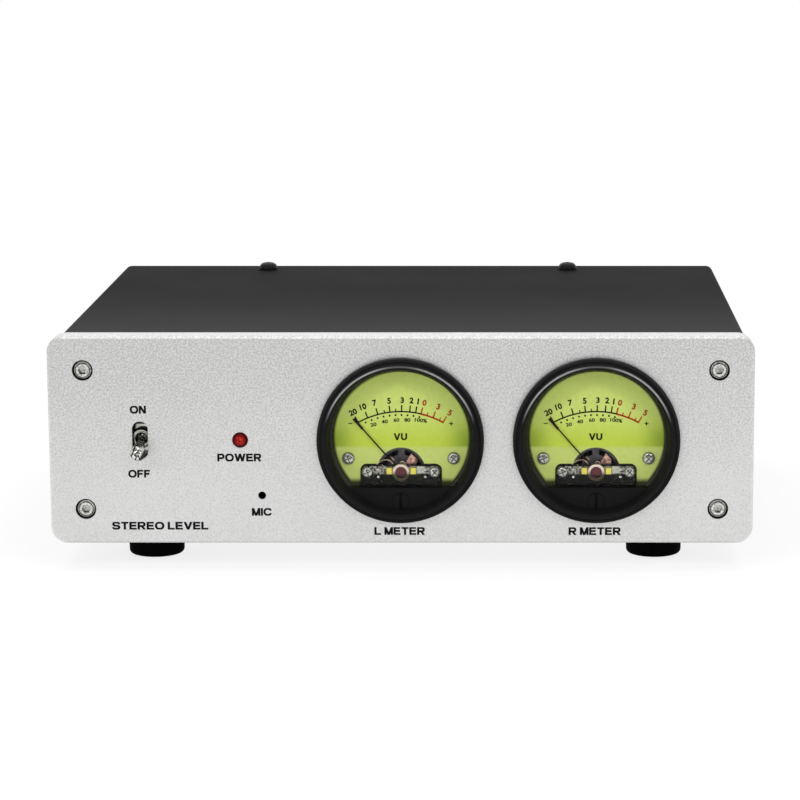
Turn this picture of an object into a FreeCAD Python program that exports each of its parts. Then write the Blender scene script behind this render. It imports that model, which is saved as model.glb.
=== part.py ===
import FreeCAD, Part
import math
import os
import re

import Sketcher

# Analog level meter: a metal box with two round moving-coil meters on its front panel.
# Lengths are millimetres and angles are degrees. Depths run back from the panel's front face
# (+Y), heights run up from the panel's lower edge (+Z), and +X is to the right seen from the front.
DIMENSIONS = {
    # Front panel
    "panel_width": 213.0,
    "panel_height": 63.6,
    "panel_thickness": 7.5,
    "panel_corner": 5.0,
    "panel_chamfer": 0.7,
    "meter_hole": 23.1,
    "corner_screw_x": 95.8,
    "corner_screw_low": 10.6,
    "corner_screw_high": 53.2,
    "corner_counterbore": 3.15,
    "corner_counterbore_depth": 3.4,
    "hex_key_depth": 1.6,
    # Sheet-metal enclosure
    "sheet": 1.2,
    "cover_width": 209.4,
    "cover_bottom": 1.2,
    "cover_top": 62.4,
    "cover_end": 167.5,
    "cover_bend": 2.5,
    "sheet_gap": 0.1,
    "tray_lip": 12.0,
    "rear_inset": 0.3,
    "rear_flange": 15.0,
    "cover_screw_x": 52.8,
    "cover_screw_depth": 157.8,
    "rear_screw_x": 95.0,
    "rear_screw_z": 7.0,
    # Feet
    "foot_height": 8.4,
    "foot_radius": 8.75,
    "foot_base_radius": 8.5,
    "foot_round": 1.3,
    "foot_x": 77.5,
    "foot_front": 24.5,
    "foot_rear": 143.0,
    "foot_recess": 3.6,
    "foot_seat": 4.0,
    # Screws
    "m3_shank": 1.5,
    "m3_clearance": 1.65,
    "m3_pan_head": 3.0,
    "m3_pan_height": 2.1,
    "m3_cap_head": 2.65,
    "m3_cap_height": 3.0,
    "m3_cap_round": 0.8,
    "m3_hex_key": 2.5,
    "m3_nut_flats": 5.5,
    "m3_nut_height": 2.4,
    "cover_screw_head": 3.2,
    "cover_screw_dome": 2.5,
    "cover_screw_round": 2.0,
    "cover_screw_length": 5.0,
    "short_screw_length": 6.0,
    "driver_cross": 2.8,
    "driver_blade": 0.7,
    "loose_fit": 0.1,
    # Power switch
    "switch_x": 78.9,
    "switch_z": 31.8,
    "slot_width": 4.8,
    "slot_height": 11.6,
    "switch_pocket": 5.6,
    "switch_pocket_depth": 4.9,
    "bushing_radius": 3.0,
    "bushing_front": 3.0,
    "bushing_bore": 1.95,
    "bushing_lip": 2.15,
    "bushing_groove": 2.4,
    "bushing_groove_depth": 0.5,
    "thread_pitch": 0.75,
    "thread_depth": 0.35,
    "bushing_end": 9.6,
    "switch_nut_flats": 8.0,
    "switch_nut_front": 5.5,
    "switch_width": 8.0,
    "switch_height": 13.2,
    "switch_length": 10.2,
    "switch_cavity": 7.0,
    "switch_tag_pitch": 4.7,
    "switch_tag_width": 2.0,
    "switch_tag_sheet": 0.8,
    "switch_tag_length": 4.0,
    "lever_pivot": 6.0,
    "lever_ball": 1.7,
    "lever_pin": 0.45,
    "lever_pin_reach": 2.9,
    "lever_length": 14.4,
    "lever_tip": 2.3,
    "lever_bat": 3.2,
    "lever_neck": 1.0,
    "lever_tail": 5.0,
    "lever_tail_radius": 0.8,
    "lever_tilt": 13.5,
    # Power lamp and microphone
    "led_x": 48.7,
    "led_z": 31.9,
    "led_radius": 2.3,
    "led_hole": 2.4,
    "led_flange": 2.9,
    "led_seat": 1.0,
    "led_reach": 1.3,
    "led_lead": 0.25,
    "led_lead_pitch": 2.54,
    "led_lead_length": 14.0,
    "mic_x": 42.3,
    "mic_z": 14.8,
    "mic_hole": 1.2,
    "mic_radius": 3.0,
    "mic_pocket": 3.1,
    "mic_front": 4.2,
    "mic_length": 5.2,
    "mic_dimple": 0.4,
    # Circuit board
    "board_width": 120.0,
    "board_front": 70.0,
    "board_length": 80.0,
    "board_thickness": 1.6,
    "board_inset": 5.0,
    "standoff_height": 6.0,
    "standoff_radius": 2.75,
    "chip_length": 9.6,
    "chip_width": 6.4,
    "chip_height": 3.4,
    "chip_row": 22.0,
    "capacitor_radius": 4.0,
    "capacitor_height": 14.0,
    "capacitor_row": 52.0,
    # Rear sockets and level control
    "socket_x": 72.0,
    "socket_pitch": 20.0,
    "socket_z": 32.0,
    "socket_radius": 4.15,
    "socket_thread": 3.8,
    "socket_reach": 9.5,
    "socket_sleeve": 3.35,
    "socket_core": 2.6,
    "socket_contact": 1.7,
    "socket_flange": 5.6,
    "socket_flange_thickness": 1.2,
    "socket_step": 0.8,
    "socket_tail": 8.0,
    "jack_x": 18.0,
    "jack_z": 20.0,
    "jack_barrel": 3.9,
    "jack_bore": 2.9,
    "jack_pin": 1.0,
    "jack_depth": 10.0,
    "jack_width": 9.0,
    "jack_height": 11.0,
    "jack_length": 13.0,
    "level_x": 66.0,
    "level_z": 32.0,
    "level_body": 8.0,
    "level_length": 8.5,
    "level_end_wall": 2.2,
    "level_bushing": 3.5,
    "level_bushing_reach": 4.0,
    "level_shaft": 3.0,
    "level_shaft_seat": 6.0,
    "knob_radius": 7.5,
    "knob_reach": 14.0,
    "knob_gap": 1.0,
    "knob_crown": 2.5,
    "knob_wall": 2.2,
    "knob_round": 0.7,
    "flute_radius": 0.9,
    "flute_count": 18,
    "knob_line": 0.8,
    "running_fit": 0.05,
    # Meters, in each meter's own frame: origin on the panel's front face at the meter's centre
    "meter_left_x": -0.3,
    "meter_right_x": 58.9,
    "meter_z": 31.8,
    "bezel_radius": 25.25,
    "bezel_rim": 4.0,
    "bezel_rim_radius": 22.9,
    "bezel_rim_half": 0.55,
    "bezel_flange": 2.1,
    "bezel_round": 0.5,
    "bezel_lip": 21.2,
    "bezel_skirt": 22.0,
    "bezel_skirt_end": 6.0,
    "mask_top": -14.7,
    "mask_front": -0.4,
    "mask_back": 3.6,
    "window_radius": 21.9,
    "window_front": 0.6,
    "window_back": 1.8,
    "case_radius": 22.9,
    "case_wall": 1.0,
    "case_mouth": 21.0,
    "case_end": 24.0,
    "case_floor": 22.5,
    "case_boss": 2.2,
    "case_seat": 7.0,
    "case_pivot_boss": 2.5,
    "case_pivot_front": 15.2,
    "dial_radius": 20.85,
    "dial_front": 4.0,
    "dial_back": 4.5,
    "dial_bottom": -15.0,
    "dial_screw_x": 16.0,
    "dial_screw_z": -6.3,
    "dial_screw_head": 1.9,
    "dial_screw_height": 1.2,
    "dial_gap": 0.4,
    "pivot_z": -10.4,
    "half_moon": 7.4,
    "bridge_x": 12.0,
    "bridge_top": -8.4,
    "bridge_low": -14.3,
    "bridge_front": 3.0,
    "bridge_corner": 2.0,
    "bridge_screw_x": 10.2,
    "bridge_screw_head": 1.6,
    "bridge_screw_height": 0.9,
    "bridge_edge": 0.2,
    "bridge_bore": 1.0,
    "bridge_ear": 1.8,
    "small_shank": 0.75,
    "small_screw_length": 6.0,
    "small_blade": 0.5,
    "yoke_inner": 6.3,
    "yoke_outer": 8.8,
    "yoke_front": 6.5,
    "yoke_back": 13.5,
    "core_radius": 4.6,
    "core_front": 7.0,
    "core_back": 13.0,
    "core_strap": 1.0,
    "coil_outer": 5.9,
    "coil_inner": 4.9,
    "coil_front": 5.8,
    "coil_back": 14.2,
    "coil_bar": 0.8,
    "spindle": 0.4,
    "spindle_front": 3.35,
    "spindle_back": 16.6,
    "jewel_ring": 2.65,
    "jewel_front": 2.0,
    "jewel_round": 0.2,
    "jewel_recess": 1.75,
    "jewel_recess_floor": 2.5,
    "jewel_cup_floor": 3.2,
    "jewel_stem": 0.95,
    "jewel_stem_end": 3.9,
    "pointer_length": 21.8,
    "pointer_rest": 41.0,
    "pointer_front": 3.2,
    "pointer_back": 3.5,
    "pointer_thin": 0.4,
    "pointer_broad": 0.75,
    "pointer_broad_start": 17.6,
    "hub_front": 4.2,
    "hub_back": 4.75,
    "hub_radius": 1.2,
    "hub_arm_front": 4.35,
    "hub_arm_back": 4.65,
    "hub_arm_low": 0.6,
    "crank_start": 2.4,
    "crank_end": 6.4,
    "balance_reach": 3.0,
    "balance_half": 0.35,
    "hair_inner": 1.0,
    "hair_pitch": 0.6,
    "hair_strip": 0.14,
    "hair_turns": 3.0,
    "hair_front": 4.82,
    "hair_back": 5.08,
    "arm_front": 5.15,
    "arm_back": 5.5,
    "arm_disc": 2.0,
    "arm_half": 1.1,
    "fork_clearance": 0.15,
    "fork_depth": 1.9,
    "adjuster_z": -18.7,
    "adjuster_head": 2.5,
    "adjuster_proud": 0.2,
    "adjuster_seat": 1.4,
    "adjuster_slot": 0.8,
    "adjuster_shaft": 1.2,
    "adjuster_throw": 0.9,
    "adjuster_pin": 0.4,
    "lock_ring": 26.5,
    "lock_ring_height": 3.0,
    "terminal_head": 2.6,
    "terminal_x": 9.0,
    "terminal_z": 9.0,
    "terminal_end": 32.0,
    "lamp_base": 2.4,
    "lamp_base_length": 3.5,
    "lamp_bulb": 1.9,
    "lamp_bulb_length": 6.0,
    "lamp_round": 1.6,
}

# Derived places, as formulas of the driving dimensions.
LEVER_REACH = "((lever_length - lever_tip) * cos(lever_tilt) + lever_tip - lever_pivot)"
FRONT_FACE = f"({LEVER_REACH} - cover_end - knob_reach) / 2"
WALL_BACK = "(panel_thickness + sheet)"
TRAY_HALF = "(cover_width / 2 - sheet - sheet_gap)"
INNER_TOP = "(cover_top - sheet - sheet_gap)"
FLOOR_TOP = "(cover_bottom + sheet)"
REAR_BACK = "(cover_end - rear_inset)"
REAR_FRONT = "(cover_end - rear_inset - sheet)"
BOARD_LOW = "(cover_bottom + sheet + standoff_height)"
BOARD_TOP = "(cover_bottom + sheet + standoff_height + board_thickness)"
BUSHING_END = "(cover_end - rear_inset + level_bushing_reach)"
KNOB_END = "(cover_end + knob_reach)"
OVERSIZE = "60"

document = FreeCAD.newDocument("level_meter")
sheet = document.addObject("Spreadsheet::Sheet", "dims")
for row, (alias, size) in enumerate(DIMENSIONS.items(), start=1):
    sheet.set(f"A{row}", alias)
    sheet.set(f"B{row}", str(size))
    sheet.setAlias(f"B{row}", alias)
document.recompute()

sub_parts = []


def formula(text):
    """Write a formula of plain dimension names as an expression on the spreadsheet."""
    def cell(match):
        name = match.group()
        return f"dims.{name}" if name in DIMENSIONS else name
    return re.sub(r"[a-z][a-z0-9_]*", cell, str(text))


def size_of(text):
    """Return the number that a formula of dimensions gives now."""
    result = sheet.evalExpression(formula(text))
    return float(getattr(result, "Value", result))


def bind(thing, path, text):
    """Tie one property of a document object to a formula of dimensions."""
    thing.setExpression(path, formula(text))


def new_body(label, x="0", depth="0", height="0", tilt=None):
    """Start a sub-part whose own origin lies at x, at a depth and at a height on the panel."""
    body = document.addObject("PartDesign::Body", label)
    body.Label = label
    body.AllowCompound = True
    if tilt:
        axis, angle = tilt
        body.Placement = FreeCAD.Placement(FreeCAD.Vector(), FreeCAD.Rotation(axis, size_of(angle)))
        bind(body, "Placement.Rotation.Angle", angle)
    bind(body, "Placement.Base.x", x)
    bind(body, "Placement.Base.y", f"{FRONT_FACE} + {depth}")
    bind(body, "Placement.Base.z", f"foot_height + {height}")
    sub_parts.append(body)
    return body


def origin_feature(body, role):
    return next(item for item in body.Origin.OriginFeatures if item.Role == role)


def new_sketch(body, plane, offset="0"):
    """Attach a sketch to an origin plane, moved along the plane's normal by an offset."""
    sketch = body.newObject("Sketcher::SketchObject", f"{body.Label}_sketch")
    sketch.AttachmentSupport = [(origin_feature(body, plane), "")]
    sketch.MapMode = "FlatFace"
    bind(sketch, "AttachmentOffset.Base.z", offset)
    return sketch


def front_sketch(body, depth="0"):
    """A sketch seen from the front, at a depth behind the body's origin."""
    return new_sketch(body, "XZ_Plane", f"-({depth})")


def level_sketch(body, height="0"):
    """A sketch seen from above, at a height over the body's origin."""
    return new_sketch(body, "XY_Plane", height)


def constrain(sketch, text, kind, *references):
    index = sketch.addConstraint(Sketcher.Constraint(kind, *references, size_of(text)))
    bind(sketch, f"Constraints[{index}]", text)


def place_point(sketch, geometry, point, x, y):
    """Hold a point of a sketch at x, y from the sketch's origin."""
    constrain(sketch, x, "DistanceX", -1, 1, geometry, point)
    constrain(sketch, y, "DistanceY", -1, 1, geometry, point)


def polygon(sketch, corners):
    """Draw a closed outline of straight lines through the corners."""
    points = [FreeCAD.Vector(size_of(x), size_of(y), 0) for x, y in corners]
    first = sketch.GeometryCount
    count = len(points)
    for index in range(count):
        sketch.addGeometry(Part.LineSegment(points[index], points[(index + 1) % count]), False)
    for index, (x, y) in enumerate(corners):
        following = first + (index + 1) % count
        sketch.addConstraint(Sketcher.Constraint("Coincident", first + index, 2, following, 1))
        place_point(sketch, first + index, 1, x, y)


def rectangle(sketch, left, right, low, high):
    polygon(sketch, [(left, low), (right, low), (right, high), (left, high)])


def circle(sketch, x, y, radius):
    centre = FreeCAD.Vector(size_of(x), size_of(y), 0)
    geometry = sketch.addGeometry(Part.Circle(centre, FreeCAD.Vector(0, 0, 1), size_of(radius)), False)
    place_point(sketch, geometry, 3, x, y)
    constrain(sketch, radius, "Radius", geometry)


def hexagon(sketch, x, y, flats):
    """Draw a regular hexagon of a given width across its flats."""
    corners = []
    for step in range(6):
        turn = math.radians(60 * step)
        reach = f"({flats}) / 2 / {math.cos(math.pi / 6):.9f}"
        corners.append((f"{x} + {reach} * {math.cos(turn):.9f}", f"{y} + {reach} * {math.sin(turn):.9f}"))
    polygon(sketch, corners)


def upright_slot(sketch, x, y, width, height):
    """Draw an upright slot with round ends."""
    run = f"(({height}) - ({width})) / 2"
    radius = f"({width}) / 2"
    arcs = []
    for centre_y, start in ((f"{y} + {run}", 0.0), (f"{y} - {run}", math.pi)):
        centre = FreeCAD.Vector(size_of(x), size_of(centre_y), 0)
        ring = Part.Circle(centre, FreeCAD.Vector(0, 0, 1), size_of(radius))
        arc = sketch.addGeometry(Part.ArcOfCircle(ring, start, start + math.pi), False)
        place_point(sketch, arc, 3, x, centre_y)
        constrain(sketch, radius, "Radius", arc)
        for end in (1, 2):
            sketch.addConstraint(Sketcher.Constraint("Horizontal", arc, 3, arc, end))
        arcs.append((arc, sketch.Geometry[arc]))
    (top, top_arc), (bottom, bottom_arc) = arcs
    for near, far, start, end in ((top, bottom, top_arc.EndPoint, bottom_arc.StartPoint),
                                  (bottom, top, bottom_arc.EndPoint, top_arc.StartPoint)):
        side = sketch.addGeometry(Part.LineSegment(start, end), False)
        sketch.addConstraint(Sketcher.Constraint("Coincident", near, 2, side, 1))
        sketch.addConstraint(Sketcher.Constraint("Coincident", side, 2, far, 1))


def add_feature(body, kind, sketch, **settings):
    """Add a sketch-based feature to a body and recompute it."""
    feature = body.newObject(f"PartDesign::{kind}", f"{body.Label}_{kind.lower()}")
    feature.Profile = sketch
    for name, setting in settings.items():
        setattr(feature, name, setting)
    return feature


def pad(body, sketch, length, reverse=False, midplane=False):
    feature = add_feature(body, "Pad", sketch, Reversed=reverse)
    if midplane:
        feature.SideType = "Symmetric"
    bind(feature, "Length", length)
    document.recompute()
    return feature


def removes_material(body, build):
    """Build a cutting feature and make sure that it took material away."""
    before = body.Shape.Volume
    feature = build()
    document.recompute()
    if body.Shape.Volume > before - 1e-6:
        raise RuntimeError(f"{feature.Label} cuts nothing")
    return feature


def pocket(body, sketch, length, reverse=False, midplane=False):
    def build():
        feature = add_feature(body, "Pocket", sketch, Reversed=reverse)
        if midplane:
            feature.SideType = "Symmetric"
        bind(feature, "Length", length)
        return feature
    return removes_material(body, build)


def pad_back(body, start, end, draw):
    """Pad an outline, drawn on a front sketch, from one depth back to another."""
    sketch = front_sketch(body, start)
    draw(sketch)
    return pad(body, sketch, f"({end}) - ({start})", reverse=True)


def pocket_back(body, start, end, draw):
    """Cut an outline, drawn on a front sketch, from one depth back to another."""
    sketch = front_sketch(body, start)
    draw(sketch)
    return pocket(body, sketch, f"({end}) - ({start})")


def pad_up(body, low, high, draw):
    """Pad an outline, drawn on a level sketch, from one height up to another."""
    sketch = level_sketch(body, low)
    draw(sketch)
    return pad(body, sketch, f"({high}) - ({low})")


def pocket_down(body, high, low, draw):
    """Cut an outline, drawn on a level sketch, from one height down to another."""
    sketch = level_sketch(body, high)
    draw(sketch)
    return pocket(body, sketch, f"({high}) - ({low})")


def turn(body, profile, plane="XY_Plane"):
    """Turn a profile of (radius, distance along the axis) about the sketch's upright axis."""
    sketch = new_sketch(body, plane)
    polygon(sketch, profile)
    feature = add_feature(body, "Revolution", sketch, ReferenceAxis=(sketch, ["V_Axis"]), Angle=360.0)
    document.recompute()
    return feature


def dress_edges(body, kind, size, chosen):
    """Fillet or chamfer the edges of a body that a test picks, in the body's own frame."""
    base = body.Tip
    names = [f"Edge{index}" for index, edge in enumerate(base.Shape.Edges, start=1) if chosen(edge)]
    if not names:
        raise RuntimeError(f"no edge of {body.Label} to {kind.lower()}")
    feature = body.newObject(f"PartDesign::{kind}", f"{body.Label}_{kind.lower()}")
    feature.Base = (base, names)
    bind(feature, "Size" if kind == "Chamfer" else "Radius", size)
    document.recompute()


def runs_along(edge, axis):
    """True for a straight edge parallel to the axis 'x', 'y' or 'z'."""
    box = edge.BoundBox
    spans = {"x": box.XLength, "y": box.YLength, "z": box.ZLength}
    length = spans.pop(axis)
    return length > 1e-4 and max(spans.values()) < 1e-4


def near(value, text):
    return abs(value - size_of(text)) < 1e-3


def mirrored_places(x, heights):
    """Places at -x and +x, at each height or depth."""
    return [(f"{side}{x}", height) for side in ("-", "") for height in heights]


def circles(places, radius):
    def draw(sketch):
        for x, y in places:
            circle(sketch, x, y, radius)
    return draw


def cross_recess(places, length="driver_cross", width="driver_blade"):
    """A cross of two bars for a driver, at each place."""
    def draw(sketch):
        for x, y in places:
            half_long = f"{length} / 2"
            half_wide = f"{width} / 2"
            polygon(sketch, [
                (f"{x} - {half_wide}", f"{y} - {half_long}"), (f"{x} + {half_wide}", f"{y} - {half_long}"),
                (f"{x} + {half_wide}", f"{y} - {half_wide}"), (f"{x} + {half_long}", f"{y} - {half_wide}"),
                (f"{x} + {half_long}", f"{y} + {half_wide}"), (f"{x} + {half_wide}", f"{y} + {half_wide}"),
                (f"{x} + {half_wide}", f"{y} + {half_long}"), (f"{x} - {half_wide}", f"{y} + {half_long}"),
                (f"{x} - {half_wide}", f"{y} + {half_wide}"), (f"{x} - {half_long}", f"{y} + {half_wide}"),
                (f"{x} - {half_long}", f"{y} - {half_wide}"), (f"{x} - {half_wide}", f"{y} - {half_wide}"),
            ])
    return draw


# --- Enclosure -----------------------------------------------------------------------------

ON_AXIS = [("0", "0")]
CORNER_SCREWS = mirrored_places("corner_screw_x", ("corner_screw_low", "corner_screw_high"))
METER_PLACES = [("meter_left_x", "meter_z"), ("meter_right_x", "meter_z")]
FOOT_PLACES = mirrored_places("foot_x", ("foot_front", "foot_rear"))
STANDOFF_PLACES = mirrored_places(
    "(board_width / 2 - board_inset)",
    ("board_front + board_inset", "board_front + board_length - board_inset"))
REAR_SCREWS = (mirrored_places("rear_screw_x", ("rear_screw_z",))
               + mirrored_places("(rear_screw_x / 3)", ("rear_screw_z",)))
COVER_SCREWS = mirrored_places("cover_screw_x", ("cover_screw_depth",))
SOCKET_PLACES = [("socket_x", "socket_z"), ("(socket_x - socket_pitch)", "socket_z")]


def make_front_panel():
    body = new_body("front_panel")

    def face(sketch):
        rectangle(sketch, "-panel_width / 2", "panel_width / 2", "0", "panel_height")
        circles(METER_PLACES, "meter_hole")(sketch)
        circles(CORNER_SCREWS, "m3_clearance")(sketch)
        circle(sketch, "-led_x", "led_z", "led_hole")
        circle(sketch, "-mic_x", "mic_z", "mic_hole")
        upright_slot(sketch, "-switch_x", "switch_z", "slot_width", "slot_height")

    pad_back(body, "0", "panel_thickness", face)
    dress_edges(body, "Fillet", "panel_corner",
                lambda edge: runs_along(edge, "y") and near(abs(edge.BoundBox.XMin), "panel_width / 2"))
    dress_edges(body, "Chamfer", "panel_chamfer", is_front_outer_edge)
    pocket_back(body, "0", "corner_counterbore_depth", circles(CORNER_SCREWS, "corner_counterbore"))
    pocket_back(body, "panel_thickness - switch_pocket_depth", "panel_thickness",
                circles([("-switch_x", "switch_z")], "switch_pocket"))
    pocket_back(body, "panel_thickness - led_seat", "panel_thickness",
                circles([("-led_x", "led_z")], "led_flange + loose_fit"))
    pocket_back(body, "mic_front", "panel_thickness", circles([("-mic_x", "mic_z")], "mic_pocket"))


def is_front_outer_edge(edge):
    """True for the edges round the panel's front face, not those of its holes."""
    box = edge.BoundBox
    if box.YMax > 1e-3:
        return False
    side = size_of("panel_width / 2 - panel_corner") - 1e-3
    beyond_side = box.XMin > side or box.XMax < -side
    return beyond_side or box.ZMax < 1e-3 or near(box.ZMin, "panel_height")


def is_upper_side_corner(edge):
    """True for the top corners of the tray's front wall and of the rear panel."""
    return (runs_along(edge, "y") and near(edge.BoundBox.ZMin, INNER_TOP)
            and near(abs(edge.BoundBox.XMin), TRAY_HALF))


def make_chassis_tray():
    body = new_body("chassis_tray")

    def front_wall(sketch):
        rectangle(sketch, f"-{TRAY_HALF}", TRAY_HALF, "cover_bottom", INNER_TOP)
        circles(METER_PLACES, "meter_hole")(sketch)
        circles(CORNER_SCREWS, "m3_clearance")(sketch)
        circle(sketch, "-switch_x", "switch_z", "bushing_radius + running_fit")
        circle(sketch, "-led_x", "led_z", "led_radius")
        circle(sketch, "-mic_x", "mic_z", "mic_pocket")

    def floor(sketch):
        rectangle(sketch, f"-{TRAY_HALF}", TRAY_HALF, "panel_thickness", REAR_FRONT)
        circles(FOOT_PLACES, "m3_clearance")(sketch)
        circles(STANDOFF_PLACES, "m3_clearance")(sketch)

    def side_lips(sketch):
        rectangle(sketch, f"-{TRAY_HALF}", f"-{TRAY_HALF} + sheet", "panel_thickness", REAR_FRONT)
        rectangle(sketch, f"{TRAY_HALF} - sheet", TRAY_HALF, "panel_thickness", REAR_FRONT)

    def rear_lip(sketch):
        rectangle(sketch, f"-{TRAY_HALF}", TRAY_HALF, "cover_bottom", "cover_bottom + tray_lip")
        circles(REAR_SCREWS, "m3_clearance")(sketch)

    pad_back(body, "panel_thickness", WALL_BACK, front_wall)
    pad_up(body, "cover_bottom", FLOOR_TOP, floor)
    pad_up(body, "cover_bottom", "cover_bottom + tray_lip", side_lips)
    pad_back(body, f"{REAR_FRONT} - sheet", REAR_FRONT, rear_lip)
    dress_edges(body, "Fillet", "cover_bend", is_upper_side_corner)


def make_rear_panel():
    body = new_body("rear_panel")

    def plate(sketch):
        rectangle(sketch, f"-{TRAY_HALF}", TRAY_HALF, "cover_bottom", INNER_TOP)
        circles(SOCKET_PLACES, "socket_thread + running_fit")(sketch)
        circles(REAR_SCREWS, "m3_clearance")(sketch)
        circle(sketch, "jack_x", "jack_z", "jack_barrel + running_fit")
        circle(sketch, "-level_x", "level_z", "level_bushing + running_fit")

    def flange(sketch):
        rectangle(sketch, f"-{TRAY_HALF}", TRAY_HALF, f"{REAR_FRONT} - rear_flange", REAR_FRONT)
        circles(COVER_SCREWS, "m3_shank + running_fit")(sketch)

    pad_back(body, REAR_FRONT, REAR_BACK, plate)
    pad_up(body, f"{INNER_TOP} - sheet", INNER_TOP, flange)
    dress_edges(body, "Fillet", "cover_bend / 2", is_upper_side_corner)


def make_top_cover():
    body = new_body("top_cover")
    half = "cover_width / 2"

    def channel(sketch):
        polygon(sketch, [(f"-{half}", "cover_bottom"), (f"-{half} + sheet", "cover_bottom"),
                         (f"-{half} + sheet", "cover_top - sheet"), (f"{half} - sheet", "cover_top - sheet"),
                         (f"{half} - sheet", "cover_bottom"), (half, "cover_bottom"),
                         (half, "cover_top"), (f"-{half}", "cover_top")])

    pad_back(body, "panel_thickness", "cover_end", channel)
    dress_edges(body, "Fillet", "cover_bend",
                lambda edge: runs_along(edge, "y") and near(edge.BoundBox.ZMin, "cover_top"))
    dress_edges(body, "Fillet", "cover_bend - sheet",
                lambda edge: runs_along(edge, "y") and near(edge.BoundBox.ZMin, "cover_top - sheet"))
    pocket_down(body, "cover_top", "cover_top - sheet", circles(COVER_SCREWS, "m3_clearance"))


def make_panel_fasteners():
    screws = new_body("panel_screws")
    head_front = "corner_counterbore_depth - m3_cap_height"
    pad_back(screws, head_front, "corner_counterbore_depth", circles(CORNER_SCREWS, "m3_cap_head"))
    pad_back(screws, "corner_counterbore_depth", f"{WALL_BACK} + m3_nut_height",
             circles(CORNER_SCREWS, "m3_shank"))
    dress_edges(screws, "Fillet", "m3_cap_round", lambda edge: near(edge.BoundBox.YMax, head_front))

    def keys(sketch):
        for x, height in CORNER_SCREWS:
            hexagon(sketch, x, height, "m3_hex_key")

    pocket_back(screws, head_front, f"{head_front} + hex_key_depth", keys)
    nuts = new_body("panel_nuts")

    def nut_faces(sketch):
        for x, height in CORNER_SCREWS:
            hexagon(sketch, x, height, "m3_nut_flats")
            circle(sketch, x, height, "m3_shank")

    pad_back(nuts, WALL_BACK, f"{WALL_BACK} + m3_nut_height", nut_faces)


def make_cover_screws():
    body = new_body("cover_screws")
    top = "cover_top + cover_screw_dome"
    pad_up(body, "cover_top", top, circles(COVER_SCREWS, "cover_screw_head"))
    dress_edges(body, "Fillet", "cover_screw_round", lambda edge: near(edge.BoundBox.ZMin, top))
    pad_up(body, "cover_top - cover_screw_length", "cover_top", circles(COVER_SCREWS, "m3_shank"))
    pocket_down(body, top, "cover_top + cover_screw_dome / 2",
                cross_recess(COVER_SCREWS))


def make_rear_panel_screws():
    body = new_body("rear_panel_screws")
    pad_back(body, REAR_BACK, f"{REAR_BACK} + m3_pan_height", circles(REAR_SCREWS, "m3_pan_head"))
    pad_back(body, f"{REAR_BACK} - short_screw_length", REAR_BACK, circles(REAR_SCREWS, "m3_shank"))
    sketch = front_sketch(body, f"{REAR_BACK} + m3_pan_height")
    cross_recess(REAR_SCREWS)(sketch)
    pocket(body, sketch, "m3_pan_height / 2", reverse=True)


def make_foot(label, x, depth):
    """A round rubber foot with a recess for its screw's head."""
    body = new_body(label, x, depth, "-foot_height")
    top = "foot_height + cover_bottom"
    turn(body, [("m3_clearance", top), ("foot_radius", top), ("foot_base_radius", "0"),
                ("foot_recess", "0"), ("foot_recess", "foot_seat"), ("m3_clearance", "foot_seat")],
         "XZ_Plane")
    dress_edges(body, "Fillet", "foot_round",
                lambda edge: edge.BoundBox.ZMax < 1e-3 and near(edge.BoundBox.XMax, "foot_base_radius"))


def make_feet():
    for side, x in (("left", "-foot_x"), ("right", "foot_x")):
        make_foot(f"foot_front_{side}", x, "foot_front")
        make_foot(f"foot_rear_{side}", x, "foot_rear")
    screws = new_body("foot_screws", height="-foot_height")
    pad_up(screws, "foot_seat - m3_pan_height", "foot_seat", circles(FOOT_PLACES, "m3_pan_head"))
    pad_up(screws, "foot_seat", "foot_height + cover_bottom + foot_seat", circles(FOOT_PLACES, "m3_shank"))
    sketch = level_sketch(screws, "foot_seat - m3_pan_height")
    cross_recess(FOOT_PLACES)(sketch)
    pocket(screws, sketch, "m3_pan_height / 2", reverse=True)


# --- Power switch, lamp and microphone -----------------------------------------------------

def make_switch_body():
    """The moulded body of the toggle switch, with its cavity and three solder tags."""
    body = new_body("power_switch_body", "-switch_x", "0", "switch_z")
    end = f"{WALL_BACK} + switch_length"

    def tags(sketch):
        for step in (-1, 0, 1):
            middle = f"{step} * switch_tag_pitch"
            rectangle(sketch, "-switch_tag_sheet / 2", "switch_tag_sheet / 2",
                      f"{middle} - switch_tag_width / 2", f"{middle} + switch_tag_width / 2")

    pad_back(body, WALL_BACK, end, lambda sketch: rectangle(
        sketch, "-switch_width / 2", "switch_width / 2", "-switch_height / 2", "switch_height / 2"))
    pocket_back(body, WALL_BACK, "lever_pivot + switch_cavity", circles(ON_AXIS, "bushing_radius"))
    pad_back(body, end, f"{end} + switch_tag_length", tags)


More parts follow.
